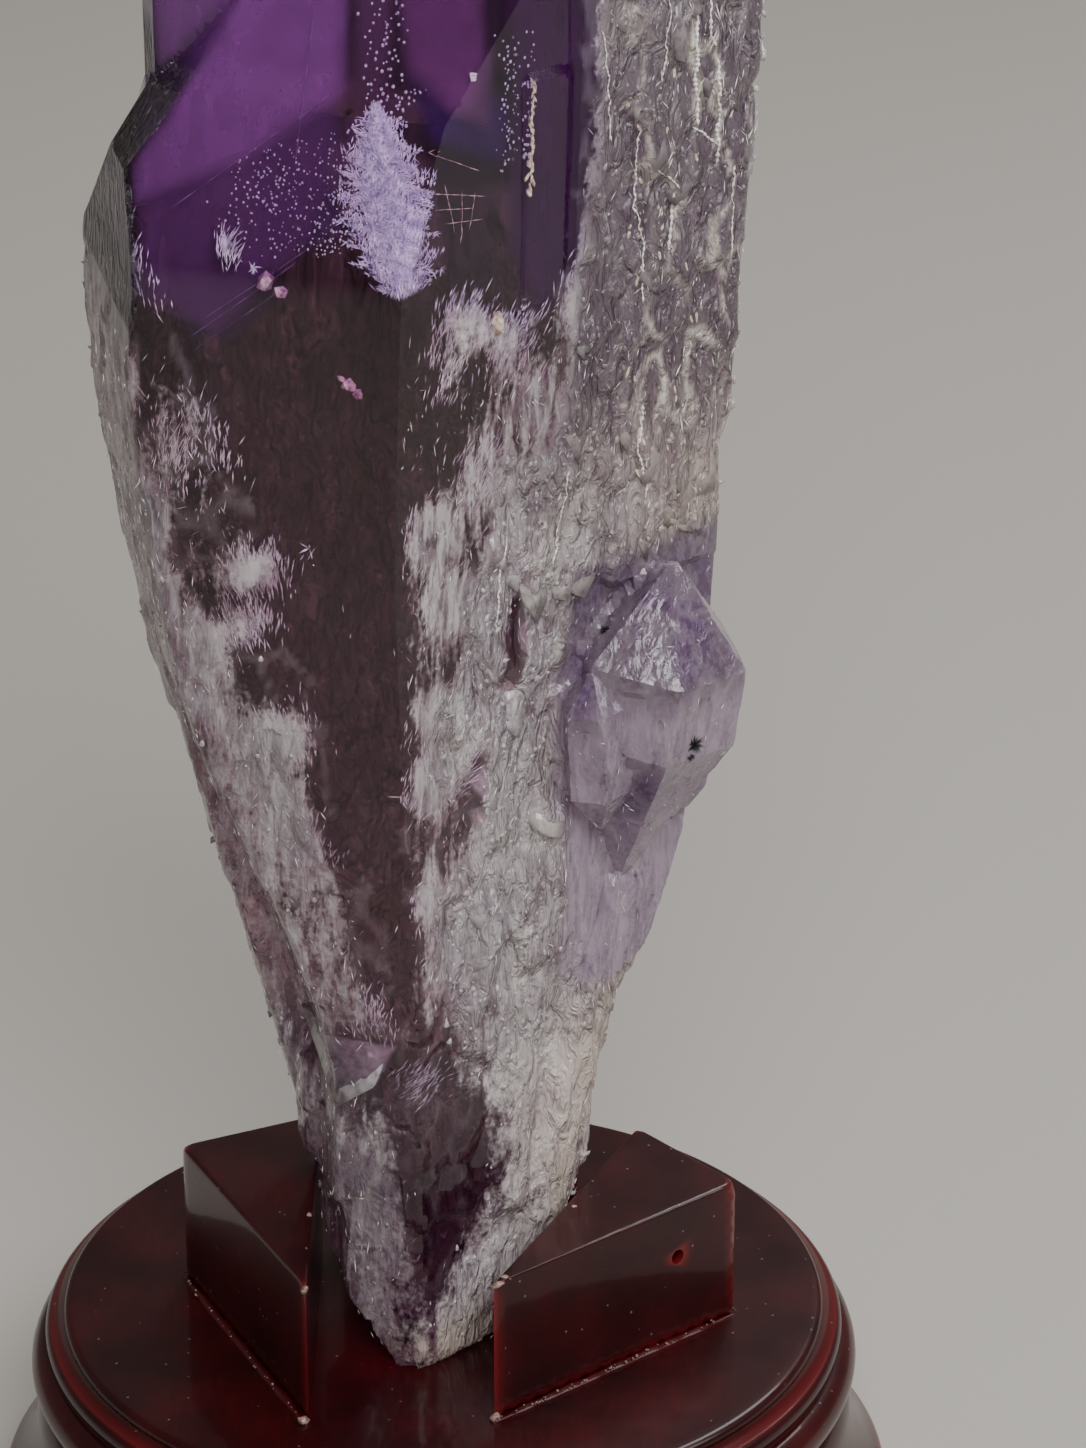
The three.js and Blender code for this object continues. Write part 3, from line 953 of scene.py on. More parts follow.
def bubble_strings(skin, rng):
    """Tiny bubbles caught in rows while the point grew."""
    parts = []
    for x0, z0, x1, z1, half, count, radius in BUBBLE_BANDS:
        share = (np.arange(count) + rng.uniform(0, 1, count)) / count
        # They sit in slanting rows of three or four.
        across = ((np.arange(count) % 4) - 1.5) / 1.5 * half + rng.normal(0, 0.35 * half, count)
        xs = x0 + (x1 - x0) * share + across
        zs = z0 + (z1 - z0) * share + 0.3 * across
        places, _, kept = beneath(skin, xs, zs, rng.uniform(0.9, 3.2, count))
        radii = radius * rng.uniform(0.5, 1.15, len(kept)) * MM
        parts.append(balls(places, radii, (1, 1, 1.25)))
    return joined(parts)


def outline_fade(points, outline):
    """How far each point is into a growth zone, from 0 on its outline to 1."""
    places = np.stack([points[:, 0] / MM, (points[:, 2] - FLAT) / MM], 1)
    rim = np.array(outline, float)
    nearest = np.full(len(places), np.inf)
    for start, end in zip(rim, np.roll(rim, -1, 0)):
        span = end - start
        share = np.clip((places - start) @ span / (span @ span), 0, 1)
        gap = np.linalg.norm(places - start - share[:, None] * span, axis=1)
        nearest = np.minimum(nearest, gap)
    return soft_step(0, GROWTH_ZONE_FADE, nearest)


def chip(rng, centre, reach, sides=2):
    """A small broken piece of stone, with uneven flat faces."""
    points, faces = ball_points(sides)
    shift = Vector(centre) * 900
    swell = np.array([1 + 0.5 * noise.noise(Vector(point) * 1.7 + shift) for point in points])
    points = points * swell[:, None] * np.array(reach) * MM
    points = points @ turn_matrix(rng.uniform(0, math.pi), rng.uniform(-0.5, 0.5)).T
    return points + np.array(centre), faces


def turn_matrix(spin, tip):
    """A turn about Z and then about Y."""
    c, s = math.cos(spin), math.sin(spin)
    d, t = math.cos(tip), math.sin(tip)
    about_y = np.array([[d, 0, t], [0, 1, 0], [-t, 0, d]])
    return about_y @ np.array([[c, -s, 0], [s, c, 0], [0, 0, 1]])


def burst(rng, centre, count, inner, outer, width):
    """Fine needles that stand out all round from one middle."""
    directions = rng.normal(0, 1, (count, 3))
    directions /= np.linalg.norm(directions, axis=1, keepdims=True)
    lengths = rng.uniform(inner, outer, count) * MM
    places = np.array(centre) + directions * lengths[:, None] / 2
    return spindles(places, directions, lengths, np.full(count, width * MM))


def thin_lens(skin, outline, depth, side):
    """A closed thin lens that follows the front (1) or back (-1) faces, as wide as its outline."""
    loop = np.array([*outline, outline[0]], float)
    count = GROWTH_ZONE_CORNERS
    along = np.linspace(0, len(outline), count, endpoint=False)
    edge = np.stack([np.interp(along, range(len(loop)), loop[:, k]) for k in (0, 1)], 1)
    middle = edge.mean(0)
    shares = np.array([1, 0.96, 0.9, 0.82, 0.72, 0.6, 0.46, 0.3, 0.15, 0])
    places, swells = [], []
    for face, chosen in ((1, shares), (-1, shares[1:])):
        for share in chosen:
            for place in middle + (edge - middle) * share if share else [middle]:
                places.append(inside(skin, place, middle, depth, side))
                swells.append(face * (1 - share))
    points = np.array(places)
    points[:, 1] -= side * GROWTH_ZONE_THICKNESS / 2 * MM * np.array(swells)
    here = np.arange(count)
    there = (here + 1) % count
    rings = len(shares) - 1
    back = rings * count + 1
    faces = []
    for starts, tip, turn in (
        ([ring * count for ring in range(rings)], rings * count, side),
        ([0, *(back + ring * count for ring in range(rings - 1))], len(points) - 1, -side),
    ):
        for outer, inner in zip(starts[:-1], starts[1:]):
            faces.append(np.stack([outer + here, outer + there, inner + there], 1)[:, ::turn])
            faces.append(np.stack([outer + here, inner + there, inner + here], 1)[:, ::turn])
        cap = np.stack([starts[-1] + here, starts[-1] + there, np.full(count, tip)], 1)
        faces.append(cap[:, ::turn])
    return points, np.concatenate(faces)


def inside(skin, place, middle, depth, side):
    """A point this far inside the front (1) or back (-1), drawn in until the skin is met."""
    for share in np.linspace(0, 1, 21):
        x, z = place + (middle - place) * share
        hit = skin.ray_cast(Vector((x * MM, -0.3 * side, z * MM + FLAT)), Vector((0, side, 0)))[0]
        if hit is not None and hit.y * side < depth * MM:
            return np.array(hit) + [0, side * depth * MM, 0]
    raise RuntimeError("a growth zone lies outside the crystal")


def run_line(skin, rng, row, depth, step, wander):
    """A thin line of short pieces under the front, wandering a little; returns points and faces."""
    x0, z0, x1, z1, width = row
    count = max(3, int(math.hypot(x1 - x0, z1 - z0) / step))
    share = np.linspace(0, 1, count)
    drift = np.cumsum(rng.normal(0, wander, count))
    drift -= share * drift[-1]
    xs = x0 + (x1 - x0) * share + drift
    places, _, _ = beneath(skin, xs, z0 + (z1 - z0) * share, np.full(count, depth))
    ways = places[1:] - places[:-1]
    lengths = np.linalg.norm(ways, axis=1) * 1.5
    widths = width * rng.uniform(0.45, 1.3, len(ways)) * MM
    return spindles((places[1:] + places[:-1]) / 2, ways, lengths, widths, 5)


def flat_scale(rng, place, normal, width, length):
    """A thin plate lying on the crust, ending below in a point; returns points and faces."""
    side = np.cross([0.0, 0.0, 1.0], normal)
    side /= np.linalg.norm(side)
    up = np.cross(normal, side)
    outline = np.array(SCALE_OUTLINE)
    outline = outline * rng.uniform(0.62, 1.25, outline.shape)
    sway = rng.normal(0, 0.2)
    x = (outline[:, 0] + sway * outline[:, 1]) * width * MM
    z = outline[:, 1] * length * MM
    # The upper end is sunk in the crust and the lower tip stands out.
    lift = (-0.9 - 2.4 * outline[:, 1] + rng.uniform(-0.2, 0.2, len(outline))) * MM
    front = place + x[:, None] * side + z[:, None] * up + lift[:, None] * normal
    back = front - SCALE_THICKNESS * MM * normal
    middles = [front.mean(0) + 0.5 * MM * normal, back.mean(0)]
    points = np.concatenate([front, back, middles])
    count = len(outline)
    faces = []
    for i in range(count):
        j = (i + 1) % count
        faces += [(i, j, 2 * count), (count + j, count + i, 2 * count + 1)]
        faces += [(i, count + i, count + j), (i, count + j, j)]
    return points, np.array(faces)


def crust_grains(rng):
    """Small quartz points on the crust; also the skin point that each point's grain grew on."""
    mesh = crystal_piece().data
    points, normals, _ = mesh_arrays(mesh)
    chance = stored(mesh, "lump") ** 2 * stored(mesh, "milk") * (1 - stored(mesh, "lavender"))
    count = CRUST_GRAINS
    picks = rng.choice(len(points), count, p=chance / chance.sum())
    lengths = rng.uniform(0.3, 1, count) ** 1.6 * CRUST_GRAIN_LENGTH * MM
    spread = rng.normal(0, 0.42, (count, 3))
    directions = normals[picks] * 0.35 + [0.0, 0.0, 0.85] + spread
    # Behind the clear front they hardly sink in, so that they don't darken it.
    lift = np.where(normals[picks, 1] > 0, 0.2, -0.12)[:, None]
    places = points[picks] + normals[picks] * lengths[:, None] * lift
    widths = lengths * rng.uniform(0.4, 0.62, count)
    grains, faces = spindles(places, directions, lengths, widths, 6)
    return grains, faces, np.repeat(picks, len(grains) // count)


def shard_points(skin):
    """The clear shard by the root: a flat-topped piece with uneven corners."""
    rows = np.array(ROOT_SHARD, float)
    top, normals, _ = beneath(skin, rows[:, 0], rows[:, 1], -rows[:, 2])
    foot = top - normals.mean(0) * 4 * MM
    points = np.concatenate([top, foot, [top.mean(0) + normals.mean(0) * 0.7 * MM], [foot.mean(0)]])
    count = len(rows)
    faces = []
    for i in range(count):
        j = (i + 1) % count
        faces += [(j, i, 2 * count), (count + i, count + j, 2 * count + 1)]
        faces += [(i, j, count + j), (i, count + j, count + i)]
    return points, np.array(faces)


def crust_scales(rng, skin):
    """The crust's scales and the shard; also the skin point that each point's piece grew on."""
    mesh = crystal_piece().data
    points, normals, _ = mesh_arrays(mesh)
    thick = (stored(mesh, "lump") > 0.72) * (stored(mesh, "milk") > 0.62)
    chance = thick * (1 - stored(mesh, "lavender")) * (points[:, 2] - FLAT > 78 * MM)
    picks = rng.choice(len(points), CRUST_SCALES, p=chance / chance.sum())
    rows = []
    for pick in picks:
        size = rng.uniform(0.5, 1) ** 1.3
        length = size * rng.uniform(*CRUST_SCALE_LENGTHS)
        rows.append((points[pick], normals[pick], size * CRUST_SCALE_WIDTH, length))
    for x, z, width, length in HANGING_SCALES:
        places, ways, _ = beneath(skin, [x], [z], [0])
        rows.append((places[0], ways[0], width, length))
    parts = [flat_scale(rng, *row) for row in rows]
    parts.append(shard_points(skin))
    places = [row[0] for row in rows] + [parts[-1][0][0]]
    tree = near_tree(points)
    owners = [np.full(len(part[0]), tree.find(place)[1]) for part, place in zip(parts, places)]
    return *joined(parts), np.concatenate(owners)


# ---------- the stand's shapes ----------


def curve_points(start, *controls, steps=10):
    """Points along a Bezier curve, without its first point."""
    corners = np.array([start, *controls], float)
    rows = []
    for share in np.linspace(0, 1, steps + 1)[1:]:
        level = corners
        while len(level) > 1:
            level = level[:-1] * (1 - share) + level[1:] * share
        rows.append(tuple(level[0]))
    return rows


def arc_points(centre, radius, start, end, steps=14):
    """Points along an arc, by its angles in degrees."""
    angles = np.radians(np.linspace(start, end, steps + 1))
    return [(centre[0] + radius * math.cos(a), centre[1] + radius * math.sin(a)) for a in angles]


def base_profile():
    """The base's outline from its underside to its flat, as radius and height."""
    foot = FOOT_RADIUS
    rows = [(foot - 12, 0), (foot - 2, 0)]
    rows += curve_points(rows[-1], (foot, 0), (foot, 2))
    rows += curve_points((foot, 4.5), (83.5, 8), (80.5, 15), (79.6, 22), steps=16)
    rows += curve_points(rows[-1], (79.2, 27), (76, 28.7))
    rows += arc_points((TOP_RING_RADIUS - 4.3, 33.2), 4.3, -90, 90)
    rows += arc_points((75.2, 39.9), 2.2, -60, 60)
    rows += arc_points((FLAT_RADIUS, BASE_HEIGHT - 1.5), 1.5, -45, 90)
    rows += [(radius, BASE_HEIGHT) for radius in (FLAT_RADIUS - 1.5, 64, 52, 38, 22)]
    return rows


def turned_mesh(outline):
    """A solid of revolution about Z, closed at both ends on the axis."""
    rows = np.array(outline) * MM
    count = BASE_SEGMENTS
    angles = np.linspace(0, 2 * math.pi, count, endpoint=False)
    spin = np.stack([np.cos(angles), np.sin(angles)], 1)
    rings = np.empty((len(rows), count, 3))
    rings[:, :, :2] = rows[:, None, :1] * spin[None]
    rings[:, :, 2] = rows[:, None, 1]
    points = rings.reshape(-1, 3).tolist() + [[0, 0, rows[0, 1]], [0, 0, rows[-1, 1]]]
    faces = []
    for ring in range(len(rows) - 1):
        for i in range(count):
            a, b = ring * count + i, ring * count + (i + 1) % count
            faces.append((a, b, b + count, a + count))
    top = (len(rows) - 1) * count
    for i in range(count):
        j = (i + 1) % count
        faces += [(j, i, len(points) - 2), (top + i, top + j, len(points) - 1)]
    mesh = bpy.data.meshes.new("turned")
    mesh.from_pydata(points, [], faces)
    return mesh


def on_block(block, along_x, along_y, height=0.0):
    """A point given along a block's two legs, in metres."""
    x, y, turn = block
    c, s = math.cos(math.radians(turn)), math.sin(math.radians(turn))
    return (
        (x + along_x * c - along_y * s) * MM,
        (y + along_x * s + along_y * c) * MM,
        FLAT + height * MM,
    )


def poured_bead(start, end, radius, seed):
    """An uneven run of lacquer along a line; closed at both ends."""
    start, end = np.array(start), np.array(end)
    length = np.linalg.norm(end - start)
    steps = max(12, int(length / (BEAD_STEP * MM)))
    out = np.cross((end - start) / length, [0.0, 0.0, 1.0])
    sides = BEAD_SIDES
    rows = []
    for i in range(steps + 1):
        share = i / steps
        drift = noise.noise(Vector((share * length / (7 * MM), seed, 0)))
        uneven = noise.noise(Vector((share * length / (4 * MM), seed, 5)))
        fat = radius * (1 + BEAD_UNEVENNESS * uneven)
        fat *= math.sin(math.pi * min(1, 4 * share + 0.08) / 2) * min(1, 6 * (1 - share) + 0.15)
        middle = start + (end - start) * share + out * drift * 0.3 * MM
        for k in range(sides):
            turn = 2 * math.pi * k / sides
            reach = out * math.cos(turn) + np.array([0, 0, 0.75]) * math.sin(turn)
            rows.append(middle + reach * fat * MM)
    points = np.array(rows + [start, end])
    faces = []
    for i in range(steps):
        for k in range(sides):
            a, b = i * sides + k, i * sides + (k + 1) % sides
            faces += [(a, b + sides, b), (a, a + sides, b + sides)]
    last = steps * sides
    for k in range(sides):
        there = (k + 1) % sides
        faces += [(k, there, len(points) - 2), (last + there, last + k, len(points) - 1)]
    return points, np.array(faces)


def round_over(mesh):
    """Eases a block's edges, as rubbing down and lacquer do, but not at the nail hole."""
    points, _, edges = mesh_arrays(mesh)
    nail = on_block(RIGHT_BLOCK, 0, NAIL_ALONG, NAIL_HEIGHT)
    free = soft_step(4 * MM, 7 * MM, np.linalg.norm(points - np.array(nail), axis=1))[:, None]
    relax(points, edges, 0.4 * free, 2)
    mesh.vertices.foreach_set("co", points.ravel())
    mesh.update()


def mark_thin_lacquer(mesh):
    """Marks where the film is thin: on the crests of the mouldings and the blocks' edges."""
    points, normals, edges = mesh_arrays(mesh)
    pull = ((points - neighbour_mean(points, edges)) * normals).sum(1)
    thin = soft_step(0.03 * MM, 0.3 * MM, pull)
    for _ in range(2):
        thin = np.maximum(0.9 * thin, 0.5 * (thin + neighbour_mean(thin, edges)))
    store(mesh, "thin", thin)


# ---------- materials ----------

QUARTZ_IOR = 1.544
LACQUER = "red_lacquer_on_hardwood"
# Each fine mineral or drop: what it is, the size of its patches of tone in millimetres, and
# how rough it is. Its two colours are in the settings, under the same word.
MINERALS = {
    "veil": ("healed_crack_white", 2.5, 0.45),
    "thread": ("bright_quartz_thread", 3, 0.25),
    "line": ("violet_growth_line", 3, 0.5),
    "snow": ("snowy_mineral_needles", 2.2, 0.6),
    "bubble": ("gas_bubble_wall", 0.5, 0.12),
    "grain": ("beige_clay_grain", 0.9, 0.7),
    "pink": ("pink_quartz_chip", 1.2, 0.15),
    "oxide": ("black_oxide_dendrite", 0.5, 0.7),
    "film_bubble": ("dried_lacquer_bubble", 0.8, 0.1),
    "glue": ("dried_wood_glue", 1.2, 0.3),
}


def gem_quartz(colours):
    """Amethyst, a quartz grown in open rock: clear faces that bend light, going to frosted crust.

    The eye gets depth and a violet tint where the growth is clear, and grey, lavender and
    beige cloud with a wet sparkle where fine healed cracks scatter the light.
    """
    material, tree, output = new_material("natural_amethyst")
    coords = add_node(tree, "TexCoord").outputs["Object"]
    zone = {}
    for name in (
        "milk", "streak", "violet", "behind", "lavender", "warm", "shade", "clear_shade", "lump", "seam",
    ):
        zone[name] = add_node(tree, "Attribute", attribute_name=name).outputs["Fac"]

    # Everything is drawn out up the crystal: feathers of cloud some 5 mm across, fibres of
    # 2.2 mm, patches of tone of 11 mm and glassy ridges 3 mm apart. Frost of 1.3 mm isn't.
    long_way = add_node(tree, "Mapping", {"Vector": coords, "Scale": (1, 1, 0.45)}).outputs["Vector"]
    longer_way = add_node(tree, "Mapping", {"Vector": coords, "Scale": (1, 1, 0.2)}).outputs["Vector"]
    grain = {}
    for name, way, size, detail, roughness, distortion in (
        ("feather", long_way, 5, 7, 0.76, 0.3),
        ("fibre", longer_way, 2.2, 5, 0.7, 0.4),
        ("frost", coords, 1.3, 3, 0.6, 0),
        ("tone", long_way, 11, 3, 0.6, 0),
        ("ridges", long_way, 3, 3, 0.5, 1.6),
    ):
        settings = {"Scale": 1 / (size * MM), "Detail": detail, "Roughness": roughness}
        settings |= {"Vector": way, "Distortion": distortion}
        grain[name] = add_node(tree, "TexNoise", settings).outputs["Fac"]

    # Where the cloud is: the milk's strength, broken up by feathers, fibres and frost.
    drawn = {0: zone["streak"], 2: grain["feather"], 3: grain["fibre"]}
    drawn = add_node(tree, "Mix", drawn).outputs[0]
    broken = zone["milk"]
    for part, share in ((drawn, 1.7), (grain["fibre"], 0.1), (grain["frost"], 0.62)):
        terms = {0: part, 1: share, 2: broken}
        broken = add_node(tree, "Math", terms, operation="MULTIPLY_ADD").outputs[0]
    edges = {"Value": broken, "From Min": 1.55, "From Max": 2.05}
    cloud = add_node(tree, "MapRange", edges, interpolation_type="SMOOTHSTEP").outputs[0]
    cloud = add_node(tree, "Math", {0: cloud, 1: zone["seam"]}, operation="MAXIMUM").outputs[0]

    patch = {"Value": grain["tone"], "From Min": 0.38, "From Max": 0.62}
    patch = add_node(tree, "MapRange", patch).outputs[0]
    # Dark gaps show in the cloud between its feathers, and more of them where the painted shade is.
    dull = {0: zone["shade"], 1: 0.14, 2: 0.43}
    dull = add_node(tree, "Math", dull, operation="MULTIPLY_ADD").outputs[0]
    gap = {"Value": grain["feather"], "From Min": 0.3, "From Max": dull}
    gap = add_node(tree, "MapRange", gap).outputs[0]
    # Where the cloud is streaky it stands in upright strands, with dark between them.
    strand = {"Value": grain["fibre"], "From Min": 0.41, "From Max": 0.55}
    strand = add_node(tree, "MapRange", strand).outputs[0]
    strand = add_node(tree, "Mix", {0: zone["streak"], 2: 1.0, 3: strand}).outputs[0]
    # The shade mask dims the cloud towards dark, and a little of it stains the cloud violet: painted
    # shade.
    dim = add_node(tree, "Math", {0: zone["shade"], 1: 0.83}, operation="MULTIPLY").outputs[0]
    stain_and_shade = {0: zone["violet"], 1: zone["lavender"]}
    stain_and_shade = add_node(tree, "Math", stain_and_shade, operation="MULTIPLY").outputs[0]
    stain_and_shade = {0: zone["shade"], 1: 0.2, 2: stain_and_shade}
    stain_and_shade = add_node(tree, "Math", stain_and_shade, operation="MULTIPLY_ADD").outputs[0]

    # Each row blends two colours, some of them made by the rows before it. The far faces hold
    # most of the colour, and the near ones are water clear. The last row is the lamps' light
    # that reaches what is sealed inside, dimmed as by the two faces that it passes.
    made = {}
    for name, share, first, second in (
        ("violet", zone["behind"], colours.violet, colours.violet_far),
        ("smoky", patch, colours.smoky_deep, colours.smoky),
        ("clear", zone["violet"], "smoky", "violet"),
        ("clear", zone["lavender"], "clear", colours.lavender),
        # Painted shade in the clear colour of the dark shoulder and of the root's front.
        ("clear", zone["clear_shade"], "clear", colours.clear_shade),
        ("cloud", patch, colours.milk_grey, colours.milk_white),
        ("cloud", zone["warm"], "cloud", colours.milk_warm),
        ("cloud", zone["lavender"], "cloud", colours.milk_lavender),
        ("cloud", gap, colours.milk_dark, "cloud"),
        ("cloud", strand, colours.milk_dark, "cloud"),
        # This row and part of the next one paint shade on the cloud.
        ("cloud", dim, "cloud", colours.milk_dark),
        ("cloud", stain_and_shade, "cloud", colours.stain_and_shade),
        ("cloud", zone["seam"], "cloud", colours.milk_bright),
        ("skin", cloud, "clear", "cloud"),
        ("lamps", zone["milk"], colours.lamp_clear, colours.lamp_milk),
    ):
        first, second = [made[side] if isinstance(side, str) else side for side in (first, second)]
        blend = {0: share, 6: first, 7: second}
        made[name] = add_node(tree, "Mix", blend, data_type="RGBA").outputs[2]

    see_through = {"Value": cloud, "To Min": 1, "To Max": 0.35}
    see_through = add_node(tree, "MapRange", see_through).outputs[0]
    frosted = add_node(tree, "Math", {0: cloud, 1: zone["behind"]}, operation="MAXIMUM").outputs[0]
    rough = add_node(tree, "MapRange", {"Value": frosted, "To Min": 0.06, "To Max": 0.17}).outputs[0]

    # Glassy ridges over small flat plates, 2.1 mm across, that are each tipped their own way.
    plates = add_node(tree, "TexVoronoi", {"Vector": long_way, "Scale": 1 / (2.1 * MM)}).outputs
    off = {0: long_way, 1: plates["Position"]}
    off = add_node(tree, "VectorMath", off, operation="SUBTRACT").outputs["Vector"]
    way = {0: plates["Color"], 1: (0.5, 0.5, 0.5)}
    way = add_node(tree, "VectorMath", way, operation="SUBTRACT").outputs["Vector"]
    tipped = add_node(tree, "VectorMath", {0: off, 1: way}, operation="DOT_PRODUCT").outputs["Value"]
    height = add_node(tree, "Math", {0: tipped, 1: 0.3}, operation="MULTIPLY").outputs[0]
    for part, rise in ((grain["ridges"], 3.2), (grain["feather"], 0.5)):
        terms = {0: part, 1: rise * MM, 2: height}
        height = add_node(tree, "Math", terms, operation="MULTIPLY_ADD").outputs[0]
    # The crust is rugged where it is cloudy. The dark shoulder is too, though it is clear.
    stepped = {"Value": zone["clear_shade"], "From Min": 0.65, "To Max": 0.8}
    stepped = add_node(tree, "MapRange", stepped).outputs[0]
    rugged = {0: zone["lump"], 1: cloud, 2: stepped}
    rugged = add_node(tree, "Math", rugged, operation="MULTIPLY_ADD").outputs[0]
    strength = {"Value": rugged, "From Min": 0.1, "From Max": 0.7, "To Min": 0.002, "To Max": 1}
    strength = add_node(tree, "MapRange", strength).outputs[0]
    bump = {"Strength": strength, "Distance": 1.0, "Height": height}
    bump = add_node(tree, "Bump", bump).outputs["Normal"]

    quartz = {"Base Color": made["skin"], "Roughness": rough, "IOR": QUARTZ_IOR}
    quartz |= {"Transmission Weight": see_through, "Normal": bump}
    quartz = add_node(tree, "BsdfPrincipled", quartz).outputs[0]
    open_way = add_node(tree, "BsdfTransparent", {"Color": made["lamps"]}).outputs[0]
    is_shadow = add_node(tree, "LightPath").outputs["Is Shadow Ray"]
    surface = add_node(tree, "MixShader", {0: is_shadow, 1: quartz, 2: open_way})
    tree.links.new(surface.outputs[0], output.inputs["Surface"])
    depth = {"Color": colours.depth, "Density": colours.depth_density}
    depth = add_node(tree, "VolumeAbsorption", depth)
    tree.links.new(depth.outputs[0], output.inputs["Volume"])
    return material


def growth_zone_painted_light():
    """A zone of violet quartz with more iron in it, drawn as a lit sheet of flat colour with painted
    light in it: light let through the zone, and in the darkest zones the dark of internal reflections.

    The eye gets soft-edged patches of one violet each, with faint upright lines.
    """
    material, tree, output = new_material("iron_rich_growth_zone")
    coords = add_node(tree, "TexCoord").outputs["Object"]
    strength = add_node(tree, "Attribute", attribute_name="fade").outputs["Fac"]
    colour = add_node(tree, "Attribute", attribute_name="tint").outputs["Color"]
    upright = add_node(tree, "Mapping", {"Vector": coords, "Scale": (1, 1, 0.3)}).outputs["Vector"]
    drift = {"Vector": upright, "Scale": 1 / (6 * MM), "Detail": 4, "Roughness": 0.6}
    drift = add_node(tree, "TexNoise", drift).outputs["Fac"]
    depth = {"Value": drift, "From Min": 0.35, "From Max": 0.62, "To Min": 0.72, "To Max": 1.15}
    depth = add_node(tree, "MapRange", depth).outputs[0]
    shown = add_node(tree, "Math", {0: depth, 1: strength}, operation="MULTIPLY").outputs[0]
    glow = {"Base Color": colour, "Roughness": 0.6, "Specular IOR Level": 0.0, "Alpha": shown}
    glow = add_node(tree, "BsdfPrincipled", glow)
    tree.links.new(glow.outputs[0], output.inputs["Surface"])
    return material


def druse_quartz(colours):
    """Small quartz points and plates grown on the crust: greyish and cloudy, with glossy skins.

    The eye gets wet highlights over a crust that is otherwise dull.
    """
    material, tree, output = new_material("druse_quartz")
    coords = add_node(tree, "TexCoord").outputs["Object"]
    warm = add_node(tree, "Attribute", attribute_name="warm").outputs["Fac"]
    shade = add_node(tree, "Attribute", attribute_name="shade").outputs["Fac"]
    tone = {"Vector": coords, "Scale": 1 / (2 * MM), "Detail": 3}
    tone = add_node(tree, "TexNoise", tone).outputs["Fac"]
    tone = add_node(tree, "MapRange", {"Value": tone, "From Min": 0.35, "From Max": 0.65}).outputs[0]
    gap = {"Vector": coords, "Scale": 1 / (4 * MM), "Detail": 6, "Roughness": 0.75}
    gap = add_node(tree, "TexNoise", gap).outputs["Fac"]
    gap = {"Value": gap, "From Min": 0.52, "From Max": 0.36, "To Max": 0.4}
    gap = add_node(tree, "MapRange", gap).outputs[0]
    # The shade kept from the skin dims the grains: painted shade.
    dim = add_node(tree, "Math", {0: shade, 1: 0.7}, operation="MULTIPLY").outputs[0]
    body = colours.milk_grey
    for share, colour in (
        (tone, colours.milk_white),
        (warm, colours.milk_warm),
        (gap, colours.milk_dark),
        (dim, colours.milk_dark),
    ):
        body = add_node(tree, "Mix", {0: share, 6: body, 7: colour}, data_type="RGBA").outputs[2]
    stone = {"Base Color": body, "Roughness": 0.12, "IOR": QUARTZ_IOR, "Transmission Weight": 0.35}
    stone = add_node(tree, "BsdfPrincipled", stone)
    tree.links.new(stone.outputs[0], output.inputs["Surface"])
    return material


def sealed_mineral(colours, key):
    """A fine mineral sealed in quartz, or a dried drop or bubble of the film.

    The eye gets a slightly uneven, dull or glossy speck of one tone between two near colours.
    """
    name, grain, roughness = MINERALS[key]
    dark, light = getattr(colours, key + "_dark"), getattr(colours, key + "_light")
    material, tree, output = new_material(name)
    coords = add_node(tree, "TexCoord").outputs["Object"]
    tone = {"Vector": coords, "Scale": 1 / (grain * MM), "Detail": 3, "Roughness": 0.6}
    tone = add_node(tree, "TexNoise", tone).outputs["Fac"]
    tone = add_node(tree, "MapRange", {"Value": tone, "From Min": 0.35, "From Max": 0.65}).outputs[0]
    colour = add_node(tree, "Mix", {0: tone, 6: dark, 7: light}, data_type="RGBA").outputs[2]
    bump = {"Strength": 0.4, "Distance": 0.1 * MM, "Height": tone}
    bump = add_node(tree, "Bump", bump).outputs["Normal"]
    stone = {"Base Color": colour, "Roughness": roughness, "IOR": 1.54, "Normal": bump}
    stone = add_node(tree, "BsdfPrincipled", stone)
    tree.links.new(stone.outputs[0], output.inputs["Surface"])
    return material


